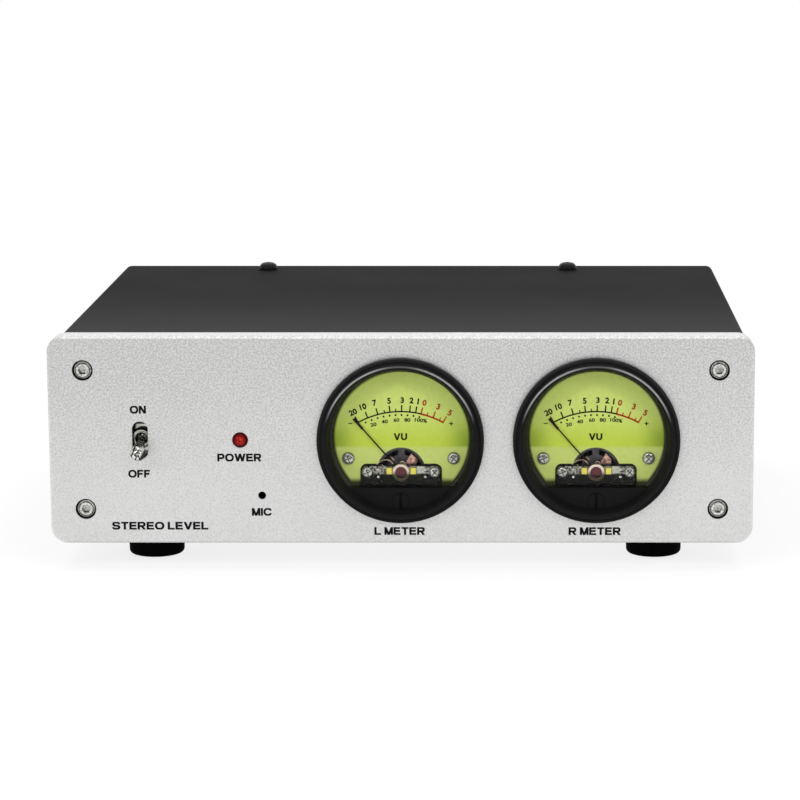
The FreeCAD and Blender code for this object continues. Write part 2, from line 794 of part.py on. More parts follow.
def make_switch_bushing():
    """The threaded bushing, grooved round its mouth and drilled for the lever's pin, and its nut."""
    bushing = new_body("power_switch_bushing", "-switch_x", "0", "switch_z")
    profile = [("bushing_bore", "bushing_front"), ("bushing_lip", "bushing_front"),
               ("bushing_lip", "bushing_front + bushing_groove_depth"),
               ("bushing_groove", "bushing_front + bushing_groove_depth"),
               ("bushing_groove", "bushing_front"), ("bushing_radius - thread_depth", "bushing_front")]
    for turns in range(3):
        start = f"bushing_front + {turns} * thread_pitch"
        profile += [("bushing_radius", f"{start} + thread_pitch / 2"),
                    ("bushing_radius - thread_depth", f"{start} + thread_pitch")]
    profile += [("bushing_radius", "bushing_front + 3 * thread_pitch"),
                ("bushing_radius", "bushing_end"), ("bushing_bore", "bushing_end")]
    turn(bushing, profile)
    hole = new_sketch(bushing, "YZ_Plane")
    circle(hole, "lever_pivot", "0", "lever_pin + running_fit")
    pocket(bushing, hole, OVERSIZE, midplane=True)
    nut = new_body("power_switch_nut", "-switch_x", "0", "switch_z")

    def nut_face(sketch):
        hexagon(sketch, "0", "0", "switch_nut_flats")
        circle(sketch, "0", "0", "bushing_radius")

    pad_back(nut, "switch_nut_front", "panel_thickness", nut_face)


def make_power_lever():
    """The bat-shaped lever on its ball and cross pin, tilted down to the OFF position."""
    tilt = (FreeCAD.Vector(1, 0, 0), "lever_tilt")
    body = new_body("power_lever", "-switch_x", "lever_pivot", "switch_z", tilt)
    tip_centre = "lever_tip - lever_length"
    turn(body, [("0", tip_centre), ("lever_tip", tip_centre), ("lever_neck", "-lever_bat"),
                ("lever_neck", "0"), ("lever_tail_radius", "0"), ("lever_tail_radius", "lever_tail"),
                ("0", "lever_tail")])
    for name, radius, centre in (("tip", "lever_tip", tip_centre), ("ball", "lever_ball", "0")):
        sphere = body.newObject("PartDesign::AdditiveSphere", f"power_lever_{name}")
        bind(sphere, "Radius", radius)
        bind(sphere, "Placement.Base.y", centre)
        document.recompute()
    pin = new_sketch(body, "YZ_Plane")
    circle(pin, "0", "0", "lever_pin")
    pad(body, pin, "2 * lever_pin_reach", midplane=True)


def make_power_led():
    """A domed lamp held by its flange in the back of the panel, with two leads."""
    body = new_body("power_led", "-led_x", "0", "led_z")
    turn(body, [("0", "led_radius - led_reach"), ("led_radius", "led_radius - led_reach"),
                ("led_radius", "panel_thickness - led_seat"), ("led_flange", "panel_thickness - led_seat"),
                ("led_flange", "panel_thickness"), ("0", "panel_thickness")])
    dome = body.newObject("PartDesign::AdditiveSphere", "power_led_dome")
    bind(dome, "Radius", "led_radius")
    bind(dome, "Placement.Base.y", "led_radius - led_reach")
    document.recompute()
    pad_back(body, "panel_thickness", "panel_thickness + led_lead_length",
             circles(mirrored_places("led_lead_pitch / 2", ("0",)), "led_lead"))


def make_mic_capsule():
    """The microphone capsule, dimpled where it faces the hole."""
    body = new_body("mic_capsule", "-mic_x", "0", "mic_z")
    turn(body, [("0", "mic_front + mic_dimple"), ("mic_hole", "mic_front + mic_dimple"),
                ("mic_hole", "mic_front"), ("mic_radius", "mic_front"),
                ("mic_radius", "mic_front + mic_length"), ("0", "mic_front + mic_length")])


# --- Electronics ---------------------------------------------------------------------------

def make_circuit_board():
    """The board on its four standoffs."""
    board = new_body("circuit_board")

    def plate(sketch):
        rectangle(sketch, "-board_width / 2", "board_width / 2", "board_front", "board_front + board_length")
        circles(STANDOFF_PLACES, "m3_clearance")(sketch)

    pad_up(board, BOARD_LOW, BOARD_TOP, plate)

    standoffs = new_body("board_standoffs")

    def tubes(sketch):
        circles(STANDOFF_PLACES, "standoff_radius")(sketch)
        circles(STANDOFF_PLACES, "m3_shank")(sketch)

    pad_up(standoffs, FLOOR_TOP, BOARD_LOW, tubes)


def make_board_screws():
    body = new_body("board_screws")
    head_top = f"{BOARD_TOP} + m3_pan_height"
    pad_up(body, BOARD_TOP, head_top, circles(STANDOFF_PLACES, "standoff_radius"))
    pad_up(body, f"{BOARD_TOP} - short_screw_length", BOARD_TOP, circles(STANDOFF_PLACES, "m3_shank"))
    pocket_down(body, head_top, f"{BOARD_TOP} + m3_pan_height / 2", cross_recess(STANDOFF_PLACES))


def make_board_parts():
    """The amplifier chips and the capacitors that stand on the board."""
    chips = new_body("board_chips")

    def packages(sketch):
        for column in (-1, 0, 1):
            middle = f"{column} * board_width / 5"
            rectangle(sketch, f"{middle} - chip_length / 2", f"{middle} + chip_length / 2",
                      "board_front + chip_row", "board_front + chip_row + chip_width")

    pad_up(chips, BOARD_TOP, f"{BOARD_TOP} + chip_height", packages)
    capacitors = new_body("board_capacitors")
    spots = [(f"{column} * board_width / 10", "board_front + capacitor_row") for column in (-3, -1, 1, 3)]
    pad_up(capacitors, BOARD_TOP, f"{BOARD_TOP} + capacitor_height", circles(spots, "capacitor_radius"))


# --- Rear sockets and level control --------------------------------------------------------

def make_input_socket(label, x):
    """A phono socket: an outer sleeve that a plug slides over, round a centre contact tube."""
    body = new_body(label, x, "0", "socket_z")
    plate = REAR_BACK
    flange = f"{plate} + socket_flange_thickness"
    end = f"{plate} + socket_reach"
    gap_floor = f"{flange} + socket_step"
    contact_end = f"{end} - socket_step"
    tail = f"{plate} - socket_tail"
    turn(body, [("socket_contact", contact_end), ("socket_core", contact_end), ("socket_core", gap_floor),
                ("socket_sleeve", gap_floor), ("socket_sleeve", end), ("socket_radius", end),
                ("socket_radius", flange), ("socket_flange", flange), ("socket_flange", plate),
                ("socket_thread", plate), ("socket_thread", tail), ("socket_contact", tail)])


def make_dc_jack():
    """The barrel inlet for the mains adaptor's plug."""
    body = new_body("dc_jack", "jack_x", "0", "jack_z")
    pad_back(body, f"{REAR_FRONT} - jack_length", REAR_FRONT, lambda sketch: rectangle(
        sketch, "-jack_width / 2", "jack_width / 2", "-jack_height / 2", "jack_height / 2"))
    pad_back(body, REAR_FRONT, REAR_BACK, circles(ON_AXIS, "jack_barrel"))

    def ring(sketch):
        circle(sketch, "0", "0", "jack_bore")
        circle(sketch, "0", "0", "jack_pin")

    pocket_back(body, f"{REAR_BACK} - jack_depth", REAR_BACK, ring)


def make_level_control():
    """A rotary level control: the pot's body with its bushing, and the shaft that turns in it."""
    pot = new_body("level_pot", "-level_x", "0", "level_z")
    front = f"{REAR_FRONT} - level_length"
    inside = f"{front} + level_end_wall"
    bore = "level_shaft + running_fit"
    turn(pot, [(bore, BUSHING_END), ("level_bushing", BUSHING_END), ("level_bushing", REAR_FRONT),
               ("level_body", REAR_FRONT), ("level_body", front), ("0", front), ("0", inside),
               (bore, inside)])
    shaft = new_body("level_shaft", "-level_x", "0", "level_z")
    start = f"{REAR_FRONT} - level_shaft_seat"
    end = f"{KNOB_END} - knob_crown"
    turn(shaft, [("0", start), ("level_shaft", start), ("level_shaft", end), ("0", end)])


def make_level_knob():
    """The fluted knob, hollow behind to clear the bushing, with a line cut in its face."""
    body = new_body("level_knob", "-level_x", "0", "level_z")
    start = f"{REAR_BACK} + knob_gap"
    hollow_end = f"{BUSHING_END} + knob_gap / 2"
    hollow = "level_shaft + knob_wall"
    shaft_end = f"{KNOB_END} - knob_crown"
    turn(body, [("level_shaft", hollow_end), (hollow, hollow_end), (hollow, start), ("knob_radius", start),
                ("knob_radius", KNOB_END), ("0", KNOB_END), ("0", shaft_end), ("level_shaft", shaft_end)])
    dress_edges(body, "Fillet", "knob_round", lambda edge: near(edge.BoundBox.YMin, KNOB_END))
    flute = front_sketch(body, f"{start} + knob_gap")
    circle(flute, "0", "knob_radius + flute_radius / 2", "flute_radius")
    groove = pocket(body, flute, "knob_reach")
    flutes = body.newObject("PartDesign::PolarPattern", "level_knob_flutes")
    flutes.Originals = [groove]
    flutes.Axis = (origin_feature(body, "Y_Axis"), [""])
    flutes.Angle = 360.0
    bind(flutes, "Occurrences", "flute_count")
    body.Tip = flutes
    document.recompute()
    line = front_sketch(body, f"{KNOB_END} - knob_line")
    rectangle(line, "-knob_line / 2", "knob_line / 2", "knob_radius / 3", "knob_radius + knob_gap")
    pocket(body, line, "knob_reach")


# --- Meters --------------------------------------------------------------------------------

PIVOT = [("0", "pivot_z")]
BRIDGE_EARS = [("-bridge_screw_x", "pivot_z"), ("bridge_screw_x", "pivot_z")]
DIAL_BOSSES = [("-dial_screw_x", "dial_screw_z"), ("dial_screw_x", "dial_screw_z")]
TERMINALS = [("-terminal_x", "terminal_z"), ("terminal_x", "terminal_z")]
ARM_TAB = [("0.6", "1.4"), ("1.8", "0.4"), ("4.7", "2.2"), ("4.6", "3.5"), ("3.1", "5.4"), ("1.9", "3.4")]
POINTER_TILT = (FreeCAD.Vector(0, 1, 0), "-pointer_rest")


def below(level):
    """Draw a rectangle over all of a meter that lies below a level."""
    return lambda sketch: rectangle(sketch, f"-{OVERSIZE}", OVERSIZE, f"-{OVERSIZE}", level)


def make_bezel(name, x):
    """The round bezel: flange, raised rim, inner lip, skirt, and the mask over the movement."""
    body = new_body(f"{name}_bezel", x, "0", "meter_z")
    outside = "bezel_rim_radius + bezel_rim_half"
    turn(body, [("bezel_skirt", "bezel_skirt_end"), ("bezel_skirt", "window_front"),
                ("bezel_lip", "window_front"), ("bezel_lip", "2 * mask_front"),
                ("bezel_rim_radius - bezel_rim_half", "-bezel_rim"), (outside, "-bezel_rim"),
                (f"{outside} + bezel_rim_half", "-bezel_flange"), ("bezel_radius", "-bezel_flange"),
                ("bezel_radius", "0"), ("bezel_rim_radius", "0"), ("bezel_rim_radius", "bezel_skirt_end")])
    dress_edges(body, "Fillet", "bezel_round",
                lambda edge: near(edge.BoundBox.YMax, "-bezel_rim") or is_flange_edge(edge))
    mask = front_sketch(body, "mask_front")
    chord(mask, "bezel_skirt + loose_fit", "mask_top")
    pad(body, mask, "mask_back - mask_front", reverse=True)
    adjuster = [("0", "adjuster_z")]
    pocket_back(body, "mask_front", "mask_front + adjuster_seat",
                circles(adjuster, "adjuster_head + loose_fit"))
    pocket_back(body, "mask_front", "mask_back", circles(adjuster, "adjuster_shaft + running_fit"))


def is_flange_edge(edge):
    """True for the outer front edge of a bezel's flange."""
    box = edge.BoundBox
    return near(box.YMax, "-bezel_flange") and near(box.XMax, "bezel_radius")


def chord(sketch, radius, top):
    """Draw the part of a circle that lies below a level."""
    reach = f"sqrt(({radius}) ^ 2 - ({top}) ^ 2)"
    half = size_of(reach)
    level = size_of(top)
    rim = Part.Circle(FreeCAD.Vector(0, 0, 0), FreeCAD.Vector(0, 0, 1), size_of(radius))
    start = math.atan2(level, -half)
    end = math.atan2(level, half)
    arc = sketch.addGeometry(Part.ArcOfCircle(rim, start, end), False)
    line = sketch.addGeometry(Part.LineSegment(FreeCAD.Vector(half, level, 0),
                                               FreeCAD.Vector(-half, level, 0)), False)
    sketch.addConstraint(Sketcher.Constraint("Coincident", arc, 2, line, 1))
    sketch.addConstraint(Sketcher.Constraint("Coincident", line, 2, arc, 1))
    sketch.addConstraint(Sketcher.Constraint("Coincident", arc, 3, -1, 1))
    sketch.addConstraint(Sketcher.Constraint("Horizontal", line))
    constrain(sketch, radius, "Radius", arc)
    constrain(sketch, top, "DistanceY", -1, 1, line, 1)


def make_window(name, x):
    body = new_body(f"{name}_window", x, "0", "meter_z")
    pad_back(body, "window_front", "window_back", circles(ON_AXIS, "window_radius"))
    pocket_back(body, "window_front", "window_back", below("mask_top + loose_fit"))


def make_case(name, x):
    """The moulded cup: spigot for the bezel, bosses for the dial and a seat for the magnet."""
    body = new_body(f"{name}_case", x, "0", "meter_z")
    inner = "case_radius - case_wall"
    spigot = "bezel_skirt - running_fit"
    turn(body, [("0", "case_end"), ("case_radius", "case_end"), ("case_radius", "bezel_skirt_end"),
                (spigot, "bezel_skirt_end"), (spigot, "window_back"), ("case_mouth", "window_back"),
                ("case_mouth", "bezel_skirt_end + case_wall"), (inner, "bezel_skirt_end + 2 * case_wall"),
                (inner, "case_floor"), ("0", "case_floor")])
    pocket_back(body, "window_back", "mask_back + 2 * loose_fit", below("mask_top + 2 * loose_fit"))
    pad_back(body, "dial_back", "case_floor", circles(DIAL_BOSSES, "case_boss"))
    pocket_back(body, "dial_back", "dial_back + small_screw_length + case_wall",
                circles(DIAL_BOSSES, "small_shank + running_fit"))

    def seat(sketch):
        circle(sketch, "0", "pivot_z", "yoke_outer")
        circle(sketch, "0", "pivot_z", "case_seat")

    pad_back(body, "yoke_back", "case_floor", seat)
    pad_back(body, "case_pivot_front", "case_floor", circles(PIVOT, "case_pivot_boss"))
    pocket_back(body, "case_pivot_front", "spindle_back + 4 * running_fit",
                circles(PIVOT, "spindle + running_fit"))
    pocket_back(body, "case_floor", "case_end", circles(TERMINALS, "m3_shank + running_fit"))


def make_dial_plate(name, x):
    """The thin scale plate, cut out round the movement."""
    body = new_body(f"{name}_dial_plate", x, "0", "meter_z")

    def disc(sketch):
        circle(sketch, "0", "0", "dial_radius")
        circles(DIAL_BOSSES, "small_shank + loose_fit")(sketch)

    pad_back(body, "dial_front", "dial_back", disc)
    pocket_back(body, "dial_front", "dial_back", circles(PIVOT, "half_moon"))
    pocket_back(body, "dial_front", "dial_back", lambda sketch: rectangle(
        sketch, "-bridge_x - dial_gap", "bridge_x + dial_gap", "2 * dial_bottom", "bridge_top + dial_gap"))
    dress_edges(body, "Fillet", "bridge_corner", lambda edge: runs_along(edge, "y")
                and near(abs(edge.BoundBox.XMin), "bridge_x + dial_gap")
                and near(edge.BoundBox.ZMin, "bridge_top + dial_gap"))
    pocket_back(body, "dial_front", "dial_back", below("dial_bottom"))


def make_magnet_yoke(name, x):
    """The magnet ring with its core, and two ears that carry the front bridge."""
    body = new_body(f"{name}_magnet_yoke", x, "0", "meter_z")

    def ring(sketch):
        circle(sketch, "0", "pivot_z", "yoke_outer")
        circle(sketch, "0", "pivot_z", "yoke_inner")

    pad_back(body, "yoke_front", "yoke_back", ring)
    pad_back(body, "core_front", "core_back", circles(PIVOT, "core_radius"))
    pad_back(body, "core_front", "core_back", lambda sketch: rectangle(
        sketch, "-core_strap", "core_strap", "pivot_z - yoke_inner - loose_fit",
        "pivot_z + yoke_inner + loose_fit"))
    pad_back(body, "dial_front", "yoke_back", circles(BRIDGE_EARS, "bridge_ear"))
    pocket_back(body, "dial_front", "dial_front + small_screw_length",
                circles(BRIDGE_EARS, "small_shank + running_fit"))


def make_bridge(name, x):
    """The plate over the front of the movement."""
    body = new_body(f"{name}_bridge", x, "0", "meter_z")

    def plate(sketch):
        rectangle(sketch, "-bridge_x", "bridge_x", "bridge_low", "bridge_top")
        circles(BRIDGE_EARS, "small_shank + loose_fit")(sketch)
        circle(sketch, "0", "pivot_z", "bridge_bore")

    pad_back(body, "bridge_front", "dial_front", plate)
    dress_edges(body, "Fillet", "bridge_corner", lambda edge: runs_along(edge, "y")
                and near(abs(edge.BoundBox.XMin), "bridge_x") and near(edge.BoundBox.ZMin, "bridge_top"))
    dress_edges(body, "Chamfer", "bridge_edge", lambda edge: near(edge.BoundBox.YMax, "bridge_front")
                and near(edge.BoundBox.ZMax, "bridge_top"))


def make_jewel_ring(name, x):
    """The pivot's jewel housing in the middle of the bridge."""
    body = new_body(f"{name}_jewel_ring", x, "0", "meter_z + pivot_z")
    cup = "spindle + running_fit"
    turn(body, [("0", "jewel_recess_floor"), ("jewel_recess", "jewel_recess_floor"),
                ("jewel_recess", "jewel_front"), ("jewel_ring", "jewel_front"),
                ("jewel_ring", "bridge_front"), ("jewel_stem", "bridge_front"),
                ("jewel_stem", "jewel_stem_end"), (cup, "jewel_stem_end"), (cup, "jewel_cup_floor"),
                ("0", "jewel_cup_floor")])
    dress_edges(body, "Fillet", "jewel_round", lambda edge: near(edge.BoundBox.YMax, "jewel_front"))




def make_pointer(name, x):
    """The pointer, drawn upright on its hub and turned back to its rest place."""
    body = new_body(f"{name}_pointer", x, "0", "meter_z + pivot_z", POINTER_TILT)
    pad_back(body, "hub_front", "hub_back", circles(ON_AXIS, "hub_radius"))
    arm = new_sketch(body, "YZ_Plane")
    polygon(arm, [("hub_arm_back", "hub_arm_low"), ("hub_arm_front", "hub_arm_low"),
                  ("hub_arm_front", "crank_start"), ("pointer_front", "crank_end"),
                  ("pointer_front", "pointer_length"), ("pointer_back", "pointer_length"),
                  ("pointer_back", "crank_end + pointer_back - pointer_front"),
                  ("hub_arm_back", "crank_start + pointer_back - pointer_front")])
    pad(body, arm, "pointer_thin", midplane=True)
    pad_back(body, "pointer_front", "pointer_back", lambda sketch: rectangle(
        sketch, "-pointer_broad / 2", "pointer_broad / 2", "pointer_broad_start", "pointer_length"))
    pad_back(body, "hub_arm_front", "hub_arm_back", lambda sketch: rectangle(
        sketch, "-balance_reach", "balance_reach", "-balance_half", "balance_half"))
    pocket_back(body, "hub_front", "hub_back", circles(ON_AXIS, "spindle"))


def make_coil(name, x):
    """The moving coil: a frame that turns round the core, with a pivot at each end."""
    body = new_body(f"{name}_coil", x, "0", "meter_z + pivot_z", POINTER_TILT)
    loop = level_sketch(body)
    rectangle(loop, "-coil_outer", "coil_outer", "coil_front", "coil_back")
    rectangle(loop, "-coil_inner", "coil_inner", "coil_front + coil_bar", "coil_back - coil_bar")
    pad(body, loop, "2 * coil_bar", midplane=True)
    pad_back(body, "spindle_front", "coil_front", circles(ON_AXIS, "spindle"))
    pad_back(body, "coil_back", "spindle_back", circles(ON_AXIS, "spindle"))


def make_hairspring(name, x):
    """The hairspring: a flat spiral of half circles about two close centres."""
    strip = size_of("hair_strip")
    pitch = size_of("hair_pitch")
    inner = size_of("hair_inner")
    depth = size_of("hair_back - hair_front")
    halves = int(2 * size_of("hair_turns"))
    edges = []
    for offset in (0.0, strip):
        for half in range(halves):
            side = 1 if half % 2 == 0 else -1
            centre = FreeCAD.Vector(0 if half % 2 == 0 else pitch / 2, 0, 0)
            radius = inner + half * pitch / 2 + offset
            start = centre + FreeCAD.Vector(radius * side, 0, 0)
            middle = centre + FreeCAD.Vector(0, 0, radius * side)
            end = centre - FreeCAD.Vector(radius * side, 0, 0)
            edges.append(Part.Arc(start, middle, end).toShape())
    inner_wire, outer_wire = edges[:halves], edges[halves:]
    for position in (0, -1):
        inner_point = inner_wire[position].Vertexes[0 if position == 0 else 1].Point
        outer_point = outer_wire[position].Vertexes[0 if position == 0 else 1].Point
        edges.append(Part.makeLine(inner_point, outer_point))
    outline = Part.Wire(Part.__sortEdges__(edges))
    feature = document.addObject("Part::Feature", f"{name}_hairspring")
    feature.Label = f"{name}_hairspring"
    feature.Shape = Part.Face(outline).extrude(FreeCAD.Vector(0, depth, 0))
    place = FreeCAD.Vector(size_of(x), size_of(f"{FRONT_FACE} + hair_front"),
                           size_of("foot_height + meter_z + pivot_z"))
    feature.Placement = FreeCAD.Placement(place, FreeCAD.Rotation())
    bind(feature, "Placement.Base.x", x)
    bind(feature, "Placement.Base.y", f"{FRONT_FACE} + hair_front")
    bind(feature, "Placement.Base.z", "foot_height + meter_z + pivot_z")
    sub_parts.append(feature)


def make_zero_arm(name, x):
    """The arm that shifts the hairspring's outer end, with a fork for the adjuster's pin."""
    body = new_body(f"{name}_zero_arm", x, "0", "meter_z + pivot_z")
    fork_end = "adjuster_z - pivot_z"
    pad_back(body, "arm_front", "arm_back", circles(ON_AXIS, "arm_disc"))
    pad_back(body, "arm_front", "arm_back",
             lambda sketch: rectangle(sketch, "-arm_half", "arm_half", fork_end, "0"))
    pad_back(body, "arm_front", "arm_back", lambda sketch: polygon(sketch, ARM_TAB))
    pocket_back(body, "arm_front", "arm_back", lambda sketch: rectangle(
        sketch, "-adjuster_pin - fork_clearance", "adjuster_pin + fork_clearance",
        f"{fork_end} - arm_half", f"{fork_end} + fork_depth"))
    pocket_back(body, "arm_front", "arm_back", circles(ON_AXIS, "spindle + running_fit"))


def make_zero_adjuster(name, x):
    """The slotted screw in the mask, with an eccentric pin on its inner end."""
    body = new_body(f"{name}_zero_adjuster", x, "0", "meter_z + adjuster_z")
    head_front = "mask_front - adjuster_proud"
    head_back = "mask_front + adjuster_seat - running_fit"
    shaft_end = "arm_front - fork_clearance"
    pad_back(body, head_front, head_back, circles(ON_AXIS, "adjuster_head"))
    pad_back(body, head_back, shaft_end, circles(ON_AXIS, "adjuster_shaft"))
    pad_back(body, shaft_end, "arm_back + adjuster_pin", circles([("0", "adjuster_throw")], "adjuster_pin"))
    pocket_back(body, head_front, f"{head_front} + adjuster_slot", lambda sketch: rectangle(
        sketch, "-adjuster_slot / 2", "adjuster_slot / 2", f"-{OVERSIZE}", OVERSIZE))


def in_both_meters(places):
    """The same places in the left and in the right meter, on the panel."""
    return [(f"{across} + ({x})", f"{height} + ({y})") for across, height in METER_PLACES for x, y in places]


def make_small_screws(label, places, seat, radius, height):
    """Cross-recessed screws whose heads stand on a depth, in both meters."""
    body = new_body(label)
    spots = in_both_meters(places)
    top = f"{seat} - {height}"
    pad_back(body, top, seat, circles(spots, radius))
    pad_back(body, seat, f"{seat} + small_screw_length", circles(spots, "small_shank"))
    pocket_back(body, top, f"{top} + small_blade", cross_recess(spots, f"{radius} * 1.2", "small_blade"))


def make_meter_terminals():
    """The studs at the back of both meters, each with its head inside and a nut outside."""
    body = new_body("meter_terminals")
    spots = in_both_meters(TERMINALS)

    def nut_faces(sketch):
        for x, height in spots:
            hexagon(sketch, x, height, "m3_nut_flats")

    pad_back(body, "case_floor - case_wall", "case_floor", circles(spots, "terminal_head"))
    pad_back(body, "case_floor", "terminal_end", circles(spots, "m3_shank"))
    pad_back(body, "case_end", "case_end + m3_nut_height", nut_faces)


def make_meter_lock_rings():
    """The rings behind the tray's front wall that hold both meters."""
    body = new_body("meter_lock_rings")

    def ring_faces(sketch):
        circles(METER_PLACES, "lock_ring")(sketch)
        circles(METER_PLACES, "case_radius + loose_fit")(sketch)

    pad_back(body, WALL_BACK, f"{WALL_BACK} + lock_ring_height", ring_faces)


def make_meter_lamps():
    """The small lamps that light both dials from behind."""
    body = new_body("meter_lamps")
    spots = in_both_meters([("0", "terminal_z")])
    shoulder = "case_floor - lamp_base_length"
    tip = f"{shoulder} - lamp_bulb_length"
    pad_back(body, shoulder, "case_floor", circles(spots, "lamp_base"))
    pad_back(body, tip, shoulder, circles(spots, "lamp_bulb"))
    dress_edges(body, "Fillet", "lamp_round", lambda edge: near(edge.BoundBox.YMax, tip))


def make_meter(name, x):
    for make in (make_bezel, make_window, make_case, make_dial_plate, make_magnet_yoke, make_bridge,
                 make_jewel_ring, make_pointer, make_coil, make_hairspring, make_zero_arm,
                 make_zero_adjuster):
        make(name, x)


def check_document():
    """Stop if any object failed, or any sub-part is empty or not a valid shape."""
    document.recompute()
    for item in document.Objects:
        if "Invalid" in item.State or "Error" in item.State:
            raise RuntimeError(f"{item.Label} did not recompute: {item.State}")
    for part in sub_parts:
        shape = part.Shape
        if shape.isNull() or not shape.isValid() or not shape.Solids:
            raise RuntimeError(f"{part.Label} has no valid shape")


def export_parts():
    os.makedirs("parts", exist_ok=True)
    for part in sub_parts:
        part.Shape.exportStep(f"parts/{part.Label}.step")


make_front_panel()
make_chassis_tray()
make_rear_panel()
make_top_cover()
make_panel_fasteners()
make_cover_screws()
make_rear_panel_screws()
make_feet()
make_switch_body()
make_switch_bushing()
make_power_lever()
make_power_led()
make_mic_capsule()
make_circuit_board()
make_board_screws()
make_board_parts()
make_input_socket("input_socket_left", "socket_x")
make_input_socket("input_socket_right", "socket_x - socket_pitch")
make_dc_jack()
make_level_control()
make_level_knob()
make_meter("left", "meter_left_x")
make_meter("right", "meter_right_x")
make_small_screws("dial_screws", DIAL_BOSSES, "dial_front", "dial_screw_head", "dial_screw_height")
make_small_screws("bridge_screws", BRIDGE_EARS, "bridge_front", "bridge_screw_head", "bridge_screw_height")
make_meter_terminals()
make_meter_lock_rings()
make_meter_lamps()
check_document()
export_parts()
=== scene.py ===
import logging
import math
from dataclasses import dataclass, field
from enum import Enum
from typing import Callable, Iterable, Optional, Sequence, Union

import bpy
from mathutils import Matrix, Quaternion, Vector


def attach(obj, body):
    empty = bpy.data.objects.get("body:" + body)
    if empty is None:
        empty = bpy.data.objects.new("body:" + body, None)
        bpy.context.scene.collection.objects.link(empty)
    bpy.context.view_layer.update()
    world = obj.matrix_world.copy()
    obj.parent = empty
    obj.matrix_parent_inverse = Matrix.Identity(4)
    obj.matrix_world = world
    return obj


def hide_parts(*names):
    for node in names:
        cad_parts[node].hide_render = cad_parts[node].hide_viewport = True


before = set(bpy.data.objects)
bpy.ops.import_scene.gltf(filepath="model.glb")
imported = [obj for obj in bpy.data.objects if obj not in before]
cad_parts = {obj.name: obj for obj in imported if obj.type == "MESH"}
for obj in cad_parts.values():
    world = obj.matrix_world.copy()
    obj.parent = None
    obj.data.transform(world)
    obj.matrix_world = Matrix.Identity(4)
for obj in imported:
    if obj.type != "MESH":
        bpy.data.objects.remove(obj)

LOG = logging.getLogger("level_meter")
MM = 0.001
Piece = bpy.types.Object
Span = tuple[float, float]
Triple = tuple[float, float, float]
Colour = Triple
BLACK: Colour = (0.0, 0.0, 0.0)

# Where the front panel's face and lower edge lie in the frame, in millimetres.
FRONT_FACE = -86.717
PANEL_FOOT = 8.4
# How high the panel's middle, with the meters, lies above that edge, and how far the rear panel's
# outside lies behind that face, in millimetres.
METER_HEIGHT = 31.8
REAR_FACE = 167.2
# How far a print stands clear of its panel, and how thick its ink is, in millimetres.
PRINT_GAP = 0.01
INK_FILM = 0.02


def panel_point(x: float, depth: float, height: float) -> Vector:
    """Give a place on or behind the front panel.

    Args:
        x: Millimetres to the right of the panel's middle.
        depth: Millimetres behind the panel's front face.
        height: Millimetres above the panel's lower edge.

    Returns:
        The place in the frame, in metres.
    """
    return Vector((x, FRONT_FACE + depth, PANEL_FOOT + height)) * MM


def beside(origin: Vector, x: float, depth: float, height: float) -> Vector:
    """Give the place that lies some millimetres to the right of, behind and above another."""
    return origin + Vector((x, depth, height)) * MM


def dimmed(colour: Colour, share: float) -> Colour:
    """Give a colour at a share of its brightness. A share over 1 makes it brighter."""
    return tuple(share * c for c in colour)


class Slot(Enum):
    """Names of the record's material slots; the meters' added pieces list one each, unread."""

    PANEL_PRINT = "panel_print_black"
    REAR_PRINT = "rear_print_white"
    DIAL_BLACK = "dial_print_black"
    DIAL_RED = "dial_print_red"
    JEWEL_CORE = "jewel_core"
    INSULATOR_YELLOW = "insulator_yellow"
    BRIDGE_NICKEL = "bridge_nickel"
    HAIRSPRING = "hairspring_bronze"
    SOCKET_INSULATOR = "socket_insulator"
    SCREW_STEEL = "screw_steel"


class Side(Enum):
    """The panel that a print lies on, as its turn about the upright axis."""

    FRONT = 0.0
    REAR = math.pi


# --- Shader maths ----------------------------------------------------------------------------


class Value:
    """A socket of a node tree, on which Python's operators add Math nodes."""

    def __init__(self, graph: "Graph", socket: bpy.types.NodeSocket) -> None:
        """Wrap a socket of the graph's node tree."""
        self.graph = graph
        self.socket = socket

    def __add__(self, other: "Operand") -> "Value":
        """Add a value or a number."""
        return self.graph.math("ADD", self, other)

    __radd__ = __add__

    def __sub__(self, other: "Operand") -> "Value":
        """Take a value or a number away."""
        return self.graph.math("SUBTRACT", self, other)

    def __rsub__(self, other: "Operand") -> "Value":
        """Take this value away from a number."""
        return self.graph.math("SUBTRACT", other, self)

    def __mul__(self, other: "Operand") -> "Value":
        """Multiply by a value or a number."""
        return self.graph.math("MULTIPLY", self, other)

    __rmul__ = __mul__

    def __abs__(self) -> "Value":
        """Give the value without its sign."""
        return self.graph.math("ABSOLUTE", self)

    def rise(self, low: float, high: float) -> "Value":
        """Go smoothly from 0 to 1 as this value goes from low to high.

        Args:
            low: Where the result is 0.
            high: Where the result is 1. It may be under low.

        Returns:
            The smooth step, held at its ends.
        """
        share = self.graph.math("MULTIPLY_ADD", self, 1 / (high - low), -low / (high - low), clamp=True)
        return share * share * (3 - 2 * share)


Operand = Union[Value, float, int]


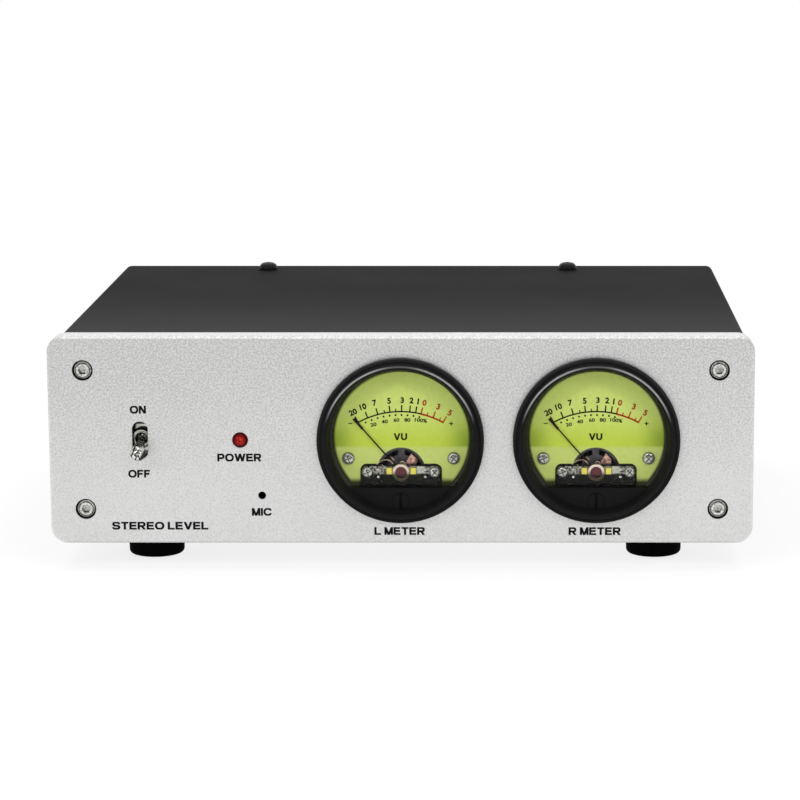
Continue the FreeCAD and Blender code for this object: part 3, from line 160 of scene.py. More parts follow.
class Graph:
    """The node tree of one material or of the world, written as Python expressions."""

    def __init__(self, owner: Union[bpy.types.Material, bpy.types.World]) -> None:
        """Empty the owner's tree and give it an output."""
        owner.use_nodes = True
        self.tree = owner.node_tree
        self.tree.nodes.clear()
        world = isinstance(owner, bpy.types.World)
        self.output = self.node("ShaderNodeOutputWorld" if world else "ShaderNodeOutputMaterial")

    def node(self, kind: str, inputs: Optional[dict] = None, **settings: object) -> bpy.types.Node:
        """Add a node.

        Args:
            kind: The node's type.
            inputs: Values, colours or numbers for its sockets, by name or number.
            settings: Its own settings.

        Returns:
            The new node.
        """
        node = self.tree.nodes.new(kind)
        for name, setting in settings.items():
            setattr(node, name, setting)
        for name, value in (inputs or {}).items():
            if isinstance(value, Value):
                self.tree.links.new(value.socket, node.inputs[name])
            elif node.inputs[name].type == "RGBA":
                node.inputs[name].default_value = (*value, 1.0)
            else:
                node.inputs[name].default_value = value
        return node

    def value(self, kind: str, inputs: Optional[dict] = None, output: Union[int, str] = 0,
              **settings: object) -> Value:
        """Add a node, as node() does, and give one of its outputs by its number or name."""
        return Value(self, self.node(kind, inputs, **settings).outputs[output])

    def math(self, operation: str, *operands: Operand, clamp: bool = False) -> Value:
        """Add a Math node.

        Args:
            operation: The Math node's operation.
            operands: Its values, in order.
            clamp: Whether the result is held between 0 and 1.

        Returns:
            The result.
        """
        return self.value("ShaderNodeMath", dict(enumerate(operands)), operation=operation, use_clamp=clamp)

    def mix(self, factor: Operand, low: Union[Value, Colour], high: Union[Value, Colour]) -> Value:
        """Mix two colours.

        Args:
            factor: 0 for the first colour, 1 for the second.
            low: The first colour.
            high: The second colour.

        Returns:
            The mixed colour.
        """
        return self.value("ShaderNodeMix", {0: factor, 6: low, 7: high}, 2, data_type="RGBA")

    def place(self, centre: Vector = Vector()) -> Value:
        """Give the place on the object as a vector, in millimetres from a centre in the frame."""
        coordinates = self.value("ShaderNodeTexCoord", None, "Object")
        return self.value("ShaderNodeMapping", {"Vector": coordinates, "Location": centre,
                                                "Scale": (MM, MM, MM)}, vector_type="TEXTURE")

    def parts(self, place: Value) -> tuple[Value, Value, Value]:
        """Split a place into x, y and z."""
        return tuple(Value(self, output) for output in self.node("ShaderNodeSeparateXYZ", {0: place}).outputs)

    def around(self, centre: Vector) -> tuple[Value, Value, Value, Value]:
        """Give the place as place() does, and its shares to the right, backwards and up."""
        place = self.place(centre)
        return place, *self.parts(place)

    def stretched(self, place: Value, factors: Triple) -> Value:
        """Multiply a place by three numbers, so that a pattern is drawn out along an axis."""
        return self.value("ShaderNodeVectorMath", {0: place, 1: factors}, operation="MULTIPLY")

    def distance(self, across: Value, up: Value) -> Value:
        """Give how far a place lies from the middle, from its two shares."""
        return self.math("SQRT", across * across + up * up)

    def noise(self, place: Value, size: float, detail: float = 2.0, rough: float = 0.5) -> Value:
        """Add a cloudy pattern.

        Args:
            place: Where it is read, in millimetres.
            size: The size of its clouds in millimetres.
            detail: How many finer layers it has.
            rough: How strong the finer layers are.

        Returns:
            The pattern, from 0 to 1, about 0.5.
        """
        return self.value("ShaderNodeTexNoise",
                          {"Vector": place, "Scale": 1 / size, "Detail": detail, "Roughness": rough})

    def grains(self, place: Value, size: float) -> Value:
        """Add a pattern of separate grains, each with its own level from 0 to 1."""
        shade = self.value("ShaderNodeTexVoronoi", {"Vector": place, "Scale": 1 / size}, "Color")
        return self.value("ShaderNodeSeparateColor", {0: shade})

    def bump(self, height: Value, depth: float, strength: float = 0.3) -> Value:
        """Turn a pattern into relief.

        Args:
            height: The pattern.
            depth: The height of its relief in millimetres.
            strength: How much of the relief shows.

        Returns:
            The normal to link to a shader.
        """
        return self.value("ShaderNodeBump", {"Height": height, "Distance": depth * MM, "Strength": strength})

    def shader(self, **inputs: Union[Value, float, Colour]) -> Value:
        """Add the main shader, its sockets named with underscores in place of spaces."""
        named = {name.replace("_", " "): value for name, value in inputs.items()}
        return self.value("ShaderNodeBsdfPrincipled", named)

    def glow(self, strength: Operand) -> Value:
        """Add a white shader that shines by itself."""
        return self.value("ShaderNodeEmission", {"Strength": strength})

    def blend(self, factor: Operand, first: Value, second: Value) -> Value:
        """Mix two shaders: 0 for the first, 1 for the second."""
        return self.value("ShaderNodeMixShader", {0: factor, 1: first, 2: second})

    def seen_rays(self) -> Value:
        """Give 1 where the eye, a mirror or a clear piece looks, and 0 where light is gathered."""
        eye, mirror, clear = self.rays()
        return self.math("MINIMUM", eye + mirror + clear, 1.0)

    def rays(self) -> tuple[Value, Value, Value]:
        """Give 1 or 0 for a ray of the eye, of a mirror and through a clear piece."""
        path = self.node("ShaderNodeLightPath").outputs
        return tuple(Value(self, path[f"Is {ray} Ray"]) for ray in ("Camera", "Glossy", "Transmission"))

    def close(self, surface: Value) -> None:
        """Link the finished surface to the material's output."""
        self.tree.links.new(surface.socket, self.output.inputs["Surface"])


# --- Finishes --------------------------------------------------------------------------------


@dataclass(frozen=True)
class Finish:
    """What every finish has: a name and a colour."""

    name: str
    colour: Colour

    def material(self) -> bpy.types.Material:
        """Give the finish's material, made when it is first asked for."""
        material = bpy.data.materials.get(self.name)
        if material is None:
            material = bpy.data.materials.new(self.name)
            graph = Graph(material)
            graph.close(self.surface(graph))
        return material

    def surface(self, graph: Graph) -> Value:
        """Build the finish's own nodes; each kind of finish does this its own way."""
        raise NotImplementedError

    def toned(self, graph: Graph, share: Value, low: float, high: float,
              colour: Optional[Colour] = None) -> Value:
        """Vary a colour in brightness.

        Args:
            graph: The graph to add to.
            share: The pattern, from 0 to 1.
            low: How bright the colour is where the pattern is 0.
            high: How bright the colour is where the pattern is 1.
            colour: The colour, or None for the finish's own.

        Returns:
            The varied colour.
        """
        plain = colour or self.colour
        return graph.mix(share, dimmed(plain, low), dimmed(plain, high))


@dataclass(frozen=True)
class BlastedAluminium(Finish):
    """Bead-blasted and clear anodised aluminium, a fine sparkling grain with soft clouds.

    Behind the panel's face its holes and its back are painted dark, painted shade, from inner_width and
    inner_height of the panel's middle inwards, so that its edges stay clean. A thin line along its lower
    edge is painted dark too. It is painted paler lower down, painted light, and its top is painted paler,
    a painted highlight, over the heights of crown.
    """

    grain: float = 0.54
    inner_width: Span = (104.5, 103.5)
    inner_height: Span = (30.5, 29.5)
    crown: Span = (62.6, 63.5)

    def surface(self, graph: Graph) -> Value:
        """Build the grain, the clouds, the painted shade in holes, back and lower edge, and the painted
        light.
        """
        place, across, depth, up = graph.around(panel_point(0.0, 0.0, 0.0))
        inside = abs(across).rise(*self.inner_width) * abs(up - METER_HEIGHT).rise(*self.inner_height)
        coarse = graph.noise(place, self.grain, 2.0, 0.75)
        beads = graph.grains(place, 0.42)
        clouds = graph.noise(place, 30.0, 3.0, 0.55)
        shade = (coarse - 0.5) * (up.rise(0.0, 50.0) * 2.4 + 1.3)
        shade = shade + (beads - 0.5) * 0.3 + (clouds - 0.5) * 0.25
        # The rise from the top down to the middle paints the panel paler lower down: painted light.
        shade = (shade + 0.5).rise(0.0, 1.0) + up.rise(62.0, 14.0) * 0.3
        # grime: the holes and the back behind the face, and a thin line along the lower edge, are painted
        # dark, painted shade.
        painted_shade = graph.math("MAXIMUM", depth.rise(0.25, 1.2) * inside * 0.93, up.rise(0.55, 0.15) * 0.3)
        tone = graph.mix(painted_shade, self.toned(graph, shade, 0.8, 1.18), BLACK)
        # crown: the top face is painted paler, a painted highlight, and made less metallic and rougher.
        crown = up.rise(*self.crown)
        tone = graph.mix(crown * 0.1, tone, (1.0, 1.0, 0.99))
        return graph.shader(Base_Color=tone, Metallic=0.75 - crown * 0.5,
                            Roughness=(coarse - 0.5) * 0.25 + 0.46 + crown * 0.15, Specular_IOR_Level=0.5,
                            Normal=graph.bump(coarse, 0.06, 0.35))


@dataclass(frozen=True)
class PowderCoat(Finish):
    """Fine matt powder paint on sheet metal; a paler front tone towards the front panel is painted light."""

    front: Optional[Colour] = None
    gloss: float = 0.75
    gleam: float = 0.08

    def surface(self, graph: Graph) -> Value:
        """Build the fine peel and the wear that is hardly seen."""
        place, _, depth, _ = graph.around(panel_point(0.0, 0.0, 0.0))
        peel = graph.noise(place, 0.45, 3.0, 0.6)
        clouds = graph.noise(place, 34.0)
        worn = peel * 0.6 + clouds * 0.4
        # Towards the front panel the tone goes over to the paler front tone: painted light.
        tone = graph.mix(depth.rise(110.0, -30.0), self.toned(graph, worn, 0.55, 1.45),
                         self.toned(graph, worn, 0.7, 1.3, self.front))
        return graph.shader(Base_Color=tone,
                            Roughness=self.gloss + (clouds - 0.5) * 0.12 + (peel - 0.5) * 0.1,
                            Specular_IOR_Level=self.gleam, Normal=graph.bump(peel, 0.06, 0.35))


@dataclass(frozen=True)
class MouldedPlastic(Finish):
    """Moulded plastic or lacquer, with a faint flow pattern in its gloss."""

    gloss: float = 0.3
    texture: float = 0.02
    gleam: float = 0.3

    def surface(self, graph: Graph) -> Value:
        """Build the faint flow and the fine surface."""
        place = graph.place()
        flow = graph.noise(place, 4.0, 3.0)
        fine = graph.noise(place, 0.25)
        return graph.shader(Base_Color=self.toned(graph, flow, 0.85, 1.15),
                            Roughness=self.gloss + (flow - 0.5) * 0.1 + (fine - 0.5) * 0.06,
                            Specular_IOR_Level=self.gleam, Normal=graph.bump(fine, self.texture))


@dataclass(frozen=True)
class BezelLacquer(Finish):
    """The black of a meter's bezel: a painted highlight along its raised rim's upper half, matt elsewhere.

    The rim runs between the radii rim_start and rim_end, in front of the depths rim_front.
    """

    centre: Vector
    highlight_tone: Colour = (0.42, 0.42, 0.42)
    rim_start: Span = (22.7, 22.95)
    rim_end: Span = (23.45, 23.2)
    rim_front: Span = (-2.6, -3.4)

    def surface(self, graph: Graph) -> Value:
        """Build the painted highlight from the distance to the meter's middle and from the depth."""
        place, across, depth, up = graph.around(self.centre)
        radius = graph.distance(across, up)
        crest = radius.rise(*self.rim_start) * radius.rise(*self.rim_end) * depth.rise(*self.rim_front)
        # rubbed: a pale metallic tone painted on the rim's upper half, a painted highlight, stronger towards
        # the sides.
        painted_highlight = crest * up.rise(5.0, 15.0) * (abs(across).rise(2.0, 10.0) * 0.75 + 0.25)
        flow = graph.noise(place, 4.0, 3.0)
        fine = graph.noise(place, 0.25)
        tone = graph.mix(painted_highlight, self.toned(graph, flow, 0.8, 1.2), self.highlight_tone)
        return graph.shader(Base_Color=tone, Specular_IOR_Level=0.12, Metallic=painted_highlight,
                            Roughness=0.6 + (fine - 0.5) * 0.2 - painted_highlight * 0.3,
                            Coat_Weight=radius.rise(24.2, 24.7) * up.rise(-6.0, 6.0) * 0.25,
                            Coat_Roughness=0.2, Normal=graph.bump(fine, 0.01))


@dataclass(frozen=True)
class Rubber(Finish):
    """Dull moulded rubber with a little dust in its texture."""

    def surface(self, graph: Graph) -> Value:
        """Build the dusty texture."""
        place = graph.place()
        texture = graph.noise(place, 0.3, 3.0, 0.65)
        dust = graph.noise(place, 5.0, 3.0)
        return graph.shader(Base_Color=self.toned(graph, dust, 0.7, 1.5), Roughness=0.8 + (dust - 0.5) * 0.2,
                            Specular_IOR_Level=0.02, Normal=graph.bump(texture, 0.08, 0.5))


@dataclass(frozen=True)
class PlatedMetal(Finish):
    """Plated or plain metal, with fine lines, a little tarnish and smudged gloss.

    Where sinks gives two depths behind the panel's face, in millimetres, the colour is painted darker from
    the first to the second: painted shade in a screw's recess.
    """

    gloss: float = 0.2
    lines: Triple = (1.0, 1.0, 1.0)
    tarnish: float = 0.25
    sinks: Span = (0.0, 0.0)
    painted_shade: float = 0.93
    patch: float = 1.6
    plating: float = 1.0

    def ring(self, graph: Graph, place: Value) -> Operand:
        """Give how much painted shade darkens a place; plain metal has none."""
        return 0.0

    def worn(self, graph: Graph, place: Value) -> Operand:
        """Give how far the plating is worn off at a place."""
        return 1.0 - self.plating

    def surface(self, graph: Graph) -> Value:
        """Build the lines, the tarnish, the painted shade and the gloss."""
        place = graph.place(panel_point(0.0, 0.0, 0.0))
        lines = graph.noise(graph.stretched(place, self.lines), 0.5, 3.0, 0.6)
        stain = graph.noise(graph.stretched(place, self.lines), self.patch, 3.0)
        tone = self.toned(graph, stain.rise(0.3, 0.65), 1 - self.tarnish, 1.05)
        # The recess between the depths of sinks is painted dark: painted shade.
        if self.sinks[1] > self.sinks[0]:
            _, depth, _ = graph.parts(place)
            tone = graph.mix(depth.rise(*self.sinks) * self.painted_shade, tone, BLACK)
        tone = graph.mix(self.ring(graph, place), tone, BLACK)
        return graph.shader(Base_Color=tone, Metallic=graph.math("SUBTRACT", 1.0, self.worn(graph, place)),
                            Roughness=self.gloss + (stain - 0.5) * 0.12 + (lines - 0.5) * 0.14,
                            Normal=graph.bump(lines, 0.02))


@dataclass(frozen=True)
class RingedSteel(PlatedMetal):
    """The steel of the panel's corner screws, with a painted shade ring round the top of each head.

    The screws stand by spread to both sides, and by reach above and below the height middle. The painted
    shade ring runs between the radii shade_ring_start and shade_ring_end, and the metal is dull along the
    head's edge.
    """

    spread: float = 95.8
    middle: float = 31.9
    reach: float = 21.3
    shade_ring_start: Span = (1.9, 2.1)
    shade_ring_end: Span = (2.4, 2.2)
    edge: Span = (2.3, 2.45)

    def ring(self, graph: Graph, place: Value) -> Value:
        """Give the painted shade ring round the head's flat face."""
        radius = self.radius(graph, place)
        return radius.rise(*self.shade_ring_start) * radius.rise(*self.shade_ring_end) * 0.85

    def worn(self, graph: Graph, place: Value) -> Operand:
        """Give the ring of dull metal along the head's edge."""
        return self.radius(graph, place).rise(*self.edge) * 0.9

    def radius(self, graph: Graph, place: Value) -> Value:
        """Give the distance from a place to the axis of the nearest screw."""
        across, _, up = graph.parts(place)
        across = abs(across) - self.spread
        up = abs(up - self.middle) - self.reach
        return graph.distance(across, up)


@dataclass(frozen=True)
class PaintedReflectionChrome(Finish):
    """The polished chrome of the lever, with painted dark reflections in streaks along it and to its right.
    """

    axis: Vector = field(default_factory=lambda: panel_point(-78.9, 0.0, METER_HEIGHT))

    def surface(self, graph: Graph) -> Value:
        """Build the painted dark reflections: the streaks and the dark side."""
        place, across, _, up = graph.around(self.axis)
        streaks = graph.noise(graph.stretched(place, (1.0, 0.3, 0.45)), 0.75, 1.0)
        side = (across - (up + 3.2) * 0.55).rise(0.75, 1.5)
        # dark: painted dark reflections, where the chrome is painted black and made dull.
        dark = graph.math("MAXIMUM", streaks.rise(0.5, 0.58) * 0.95, side * 0.96)
        return graph.shader(Base_Color=graph.mix(dark, self.colour, (0.006, 0.006, 0.005)),
                            Metallic=1.0 - dark, Specular_IOR_Level=0.05,
                            Roughness=0.12 + dark * 0.7 + (streaks - 0.5) * 0.1,
                            Normal=graph.bump(streaks, 0.04))


@dataclass(frozen=True)
class ZincSheet(Finish):
    """Plain zinc-plated sheet steel, with the large pale flakes of its plating."""

    def surface(self, graph: Graph) -> Value:
        """Build the flakes and the rolled lines."""
        place = graph.place()
        flakes = graph.grains(place, 6.0)
        rolled = graph.noise(graph.stretched(place, (1.0, 0.04, 1.0)), 0.6, 3.0)
        return graph.shader(Base_Color=self.toned(graph, flakes * 0.5 + rolled * 0.5, 0.82, 1.1),
                            Metallic=1.0, Roughness=0.34 + (flakes - 0.5) * 0.12,
                            Normal=graph.bump(rolled, 0.02))


@dataclass(frozen=True)
class WoundWire(Finish):
    """Enamelled copper wire, wound side by side."""

    pitch: float = 0.22

    def surface(self, graph: Graph) -> Value:
        """Build the turns of the winding and the enamel's gloss."""
        place = graph.place()
        turns = graph.value("ShaderNodeTexWave", {"Vector": place, "Scale": 0.31 / self.pitch,
                                                  "Distortion": 0.6, "Detail": 1.0}, 1, bands_direction="Z")
        return graph.shader(Base_Color=self.toned(graph, turns, 0.45, 1.15), Metallic=0.8,
                            Roughness=0.42 - turns * 0.14, Normal=graph.bump(turns, 0.08, 0.7),
                            Coat_Weight=0.4, Coat_Roughness=0.15)


@dataclass(frozen=True)
class SolderMask(Finish):
    """A circuit board's solder mask, with the copper tracks showing through it."""

    def surface(self, graph: Graph) -> Value:
        """Build the tracks in the mask."""
        place = graph.place()
        tracks = graph.value("ShaderNodeTexBrick", {"Vector": place, "Scale": 0.12, "Mortar Size": 0.05,
                                                    "Mortar Smooth": 0.3}, 1, offset=0.5)
        weave = graph.noise(place, 0.8, 3.0)
        pattern = tracks * 0.6 + weave * 0.2
        return graph.shader(Base_Color=graph.mix(pattern, self.colour, dimmed(self.colour, 1.7)),
                            Roughness=0.28 + weave * 0.12, Normal=graph.bump(tracks, 0.05, 0.5))


@dataclass(frozen=True)
class DialPaint(Finish):
    """The green of a dial with painted light and shade: pale above, yellower round the movement, dark rim.

    It has a painted shadow over the radii rim_fade and down the heights foot_fade, and a faint painted glow.
    """

    centre: Vector
    pale: Colour = (0.6, 0.7, 0.185)
    foot: Colour = (0.56, 0.64, 0.21)
    olive: Colour = (0.25, 0.36, 0.03)
    shadow: Colour = (0.012, 0.017, 0.003)
    rim_fade: Span = (19.85, 20.75)
    foot_fade: Span = (-12.0, -13.9)

    def surface(self, graph: Graph) -> Value:
        """Build the dial's tones, its painted light and shade, from the place on it."""
        place, across, _, up = graph.around(self.centre)
        reach = graph.distance(across, up)
        # Painted light and shade: paler above, olive towards the rim at the sides, and paler below the
        # middle.
        tone = graph.mix(up.rise(-2.0, 9.0), self.colour, self.pale)
        band = up.rise(6.0, -1.0)
        tone = graph.mix(reach.rise(11.5, 21.5) * (0.2 + 0.65 * band) * up.rise(-3.4, -2.2), tone, self.olive)
        tone = graph.mix(up.rise(-2.2, -3.6) * 0.8, tone, self.foot)
        mottle = graph.noise(place, 1.3, 3.0, 0.6)
        grain = graph.noise(place, 0.3)
        tone = graph.mix(mottle.rise(0.3, 0.8) * 0.16, tone, self.olive)
        # edge: a painted shadow of the bezel's wall and of the mask, round the dial's rim and along its foot.
        edge = graph.distance(across - 0.25, up - 0.1).rise(*self.rim_fade)
        edge = graph.math("MAXIMUM", edge, up.rise(*self.foot_fade))
        tone = graph.mix(edge * 0.97, tone, self.shadow)
        # The emission is a painted glow, standing in for light.
        return graph.shader(Base_Color=tone, Roughness=0.5 + grain * 0.15, Specular_IOR_Level=0.1,
                            Emission_Color=tone, Emission_Strength=0.2, Normal=graph.bump(grain, 0.01, 0.25))


@dataclass(frozen=True)
class Ink(Finish):
    """Screen-printed ink, a little uneven where the screen's threads were."""

    def surface(self, graph: Graph) -> Value:
        """Build the uneven coat of the ink."""
        place = graph.place()
        screen = graph.noise(place, 0.2)
        clouds = graph.noise(place, 1.5)
        return graph.shader(Base_Color=self.toned(graph, clouds, 0.8, 1.3), Specular_IOR_Level=0.1,
                            Roughness=0.55 + (screen - 0.5) * 0.2, Normal=graph.bump(screen, 0.01))


@dataclass(frozen=True)
class ClearWindow(Finish):
    """Clear moulded plastic, seen only by its gloss."""

    gleam: float = 0.14

    def surface(self, graph: Graph) -> Value:
        """Build the gloss over the clear sheet, with a few faint smears."""
        place = graph.place()
        smear = graph.noise(graph.stretched(place, (1.0, 1.0, 0.4)), 7.0, 2.0)
        fresnel = graph.value("ShaderNodeFresnel", {"IOR": 1.45})
        clear = graph.value("ShaderNodeBsdfTransparent", {"Color": self.colour})
        gloss = graph.value("ShaderNodeBsdfGlossy", {"Roughness": 0.05})
        return graph.blend(fresnel * (0.8 + 0.4 * smear) * self.gleam, clear, gloss)


@dataclass(frozen=True)
class LampLens(Finish):
    """The tinted lens of a lamp: painted shade over its rim's radii, a painted highlight in its middle."""

    centre: Vector
    glow: Colour
    glint_radii: Span = (1.7, 0.5)
    rim: Span = (1.9, 1.4)

    def surface(self, graph: Graph) -> Value:
        """Build the painted shade, the painted highlight and the faint painted glow of the lens."""
        place, across, _, up = graph.around(self.centre)
        reach = graph.distance(across, up)
        cloud = graph.noise(place, 0.55, 1.0)
        # Painted shade darkens the rim; the mottled glow colour in the middle is a painted highlight.
        tone = graph.mix(reach.rise(*self.rim), dimmed(self.colour, 0.35), self.colour)
        tone = graph.mix(reach.rise(*self.glint_radii) * cloud.rise(0.46, 0.62), tone, self.glow)
        # The emission is a faint painted glow.
        return graph.shader(Base_Color=tone, Roughness=0.25 + cloud * 0.1, Specular_IOR_Level=0.06,
                            Emission_Color=tone, Emission_Strength=0.1, Normal=graph.bump(cloud, 0.05))


@dataclass(frozen=True)
class LampGlass(Finish):
    """Thin clear glass of the dial lamps, faintly clouded."""

    def surface(self, graph: Graph) -> Value:
        """Build the clouded glass."""
        cloud = graph.noise(graph.place(), 1.2, 2.0)
        return graph.shader(Base_Color=self.toned(graph, cloud, 0.8, 1.0), Roughness=0.1 + cloud * 0.1,
                            Alpha=0.35 + cloud * 0.2)


@dataclass(frozen=True)
class PaintedShadeNickel(Finish):
    """The bridge's nickel, with painted light and shade: bright from the height fold to the top, and dark
    and spotted with painted glints below it.

    The bright half is plain between plain_start and plain_end to the right, and marbled elsewhere.
    """

    centre: Vector
    shade_edge: float = -10.95
    top: Span = (-8.45, -8.8)
    plain_start: Span = (4.3, 5.1)
    plain_end: Span = (7.7, 6.6)

    def surface(self, graph: Graph) -> Value:
        """Build the painted bright half with its plain and marbled ends, the painted dark half and glints."""
        place, across, _, up = graph.around(self.centre)
        marble = graph.noise(place, 0.75, 3.0, 0.6)
        glints = graph.noise(place, 0.42, 2.0, 0.6)
        # band: painted bright above the height fold and painted dark below it, standing in for the mask's
        # dark reflection.
        band = (up + (marble - 0.5) * 1.2).rise(self.shade_edge - 0.3, self.shade_edge + 0.5) * up.rise(*self.top)
        plain = across.rise(*self.plain_start) * across.rise(*self.plain_end)
        plain = plain * (0.55 + 0.45 * glints.rise(0.35, 0.55))
        worn = graph.math("MAXIMUM", marble.rise(0.38, 0.6) * 0.6, plain * 0.85)
        # The glints are painted glints.
        shade = band * worn + glints.rise(0.63, 0.72) * 0.5
        tone = graph.mix(shade, dimmed(self.colour, 0.018), self.colour)
        return graph.shader(Base_Color=tone, Metallic=0.8, Roughness=0.4 - 0.1 * band + marble * 0.1,
                            Specular_IOR_Level=0.1, Normal=graph.bump(marble * 0.6 + glints * 0.4, 0.12, 0.6))


@dataclass(frozen=True)
class RibbedCore(Finish):
    """The lacquered core in the jewel ring, with fine lines that run out from its middle."""

    centre: Vector
    lines: float = 18.0

    def surface(self, graph: Graph) -> Value:
        """Build the lines from the angle round the middle, and the shade on its lower edge."""
        across, _, up = graph.parts(graph.place(self.centre))
        angle = graph.math("ARCTAN2", up, across)
        ribs = graph.math("SINE", angle * self.lines) * 0.5 + 0.5
        tone = self.toned(graph, ribs, 0.25, 2.3)
        tone = graph.mix(up.rise(-0.1, -1.3) * 0.8, tone, (0.004, 0.003, 0.002))
        return graph.shader(Base_Color=tone, Roughness=0.35 - ribs * 0.1, Specular_IOR_Level=0.2,
                            Normal=graph.bump(ribs, 0.06, 0.6))


@dataclass(frozen=True)
class ShadedNickel(Finish):
    """The nickel of the jewel ring, which the dark base below it shades from its middle down."""

    centre: Vector

    def surface(self, graph: Graph) -> Value:
        """Build the shade and the fine turning marks."""
        place, _, _, up = graph.around(self.centre)
        marks = graph.noise(place, 0.35)
        tone = self.toned(graph, marks, 0.85, 1.1)
        tone = graph.mix(up.rise(0.9, -0.9) * 0.95, tone, (0.045, 0.04, 0.01))
        return graph.shader(Base_Color=tone, Metallic=0.85, Roughness=0.24 + marks * 0.1,
                            Normal=graph.bump(marks, 0.02))


PANEL_SILVER = BlastedAluminium("blasted silver", (0.71, 0.71, 0.705))
# The cover's paler front tone is painted light.
COVER_BLACK = PowderCoat("cover powder coat", (0.0102, 0.0102, 0.0104), front=(0.049, 0.049, 0.0492),
                         gleam=0.05)
REAR_BLACK = PowderCoat("rear powder coat", (0.017, 0.017, 0.0172), gleam=0.06)
CHASSIS_STEEL = ZincSheet("zinc sheet", (0.52, 0.53, 0.54))
FOOT_RUBBER = Rubber("foot rubber", (0.0025, 0.0025, 0.0025))
# The corner screws' recesses and the ring round each head are painted shade.
SCREW_STEEL = RingedSteel("bright screw steel", (0.78, 0.78, 0.74), tarnish=0.6, sinks=(1.6, 2.6),
                          painted_shade=0.8, patch=0.55)
FOOT_STEEL = PlatedMetal("plain screw steel", (0.62, 0.62, 0.6), gloss=0.25, tarnish=0.3)
BOARD_STEEL = PlatedMetal("board screw steel", (0.66, 0.65, 0.6), gloss=0.26, tarnish=0.4)
# sinks: the cross heads' recesses are painted dark, painted shade.
DIAL_SCREW_STEEL = PlatedMetal("dial screw steel", (0.66, 0.65, 0.6), tarnish=0.5, sinks=(3.3, 3.5),
                               patch=0.6, plating=0.7)
BRIDGE_SCREW_STEEL = PlatedMetal("bridge screw steel", (0.7, 0.69, 0.65), tarnish=0.5, sinks=(2.48, 2.6),
                                 patch=0.6, plating=0.7)
SCREW_BLACK = PowderCoat("black oxide", (0.008, 0.008, 0.009), gloss=0.38, gleam=0.15)
LEVER_CHROME = PaintedReflectionChrome("lever chrome", (0.78, 0.78, 0.74))
BUSHING_CHROME = PlatedMetal("bushing chrome", (0.5, 0.5, 0.44), gloss=0.12, tarnish=0.35)
SWITCH_BLACK = MouldedPlastic("switch moulding", (0.02, 0.02, 0.024), gloss=0.45)
MIC_FELT = MouldedPlastic("microphone felt", (0.006, 0.006, 0.006), gloss=0.8, texture=0.08, gleam=0.05)
MIC_METAL = PlatedMetal("satin can metal", (0.3, 0.3, 0.31), gloss=0.4, lines=(1.0, 0.1, 1.0))
BOARD_GREEN = SolderMask("solder mask", (0.02, 0.16, 0.055))
CHIP_BLACK = MouldedPlastic("chip moulding", (0.022, 0.022, 0.024), gloss=0.55, texture=0.05)
SLEEVE_BLUE = MouldedPlastic("capacitor sleeve", (0.04, 0.07, 0.18), gloss=0.22)
SOCKET_NICKEL = PlatedMetal("socket nickel", (0.68, 0.65, 0.56), gloss=0.16, lines=(1.0, 0.15, 1.0))
JACK_BLACK = MouldedPlastic("jack moulding", (0.022, 0.022, 0.024), gloss=0.42)
KNOB_BLACK = MouldedPlastic("knob moulding", (0.016, 0.016, 0.017), gloss=0.38, texture=0.05, gleam=0.25)
CASE_BLACK = MouldedPlastic("case moulding", (0.075, 0.073, 0.078), gloss=0.6, gleam=0.1)
WINDOW_CLEAR = ClearWindow("clear window", (0.985, 0.99, 0.98))
MAGNET_STEEL = PlatedMetal("magnet steel", (0.13, 0.12, 0.14), gloss=0.45, tarnish=0.4, plating=0.7)
PIN_NICKEL = PlatedMetal("pin nickel", (0.8, 0.79, 0.76), gloss=0.18)
INSULATOR_YELLOW = MouldedPlastic("insulator moulding", (1.0, 0.88, 0.14), gloss=0.4)
COIL_COPPER = WoundWire("coil winding", (0.5, 0.2, 0.09))
POINTER_BLACK = Ink("pointer lacquer", (0.02, 0.008, 0.003))
HAIRSPRING_BRONZE = PlatedMetal("hairspring bronze", (0.9, 0.72, 0.56), gloss=0.3)
ARM_COPPER = PlatedMetal("arm copper", (0.85, 0.5, 0.4), gloss=0.35, tarnish=0.8, patch=0.8)
LAMP_CLEAR = LampGlass("lamp glass", (0.9, 0.88, 0.8))
PANEL_INK = Ink("panel ink", (0.003, 0.003, 0.003))
REAR_INK = Ink("rear ink", (0.62, 0.62, 0.6))
DIAL_INK_BLACK = Ink("dial ink black", (0.004, 0.006, 0.001))
DIAL_INK_RED = Ink("dial ink red", (0.5, 0.045, 0.003))
INSULATOR_WHITE = MouldedPlastic("socket insulator white", (0.72, 0.71, 0.67), gloss=0.4)
INSULATOR_RED = MouldedPlastic("socket insulator red", (0.5, 0.03, 0.02), gloss=0.4)


# --- Modelling -------------------------------------------------------------------------------


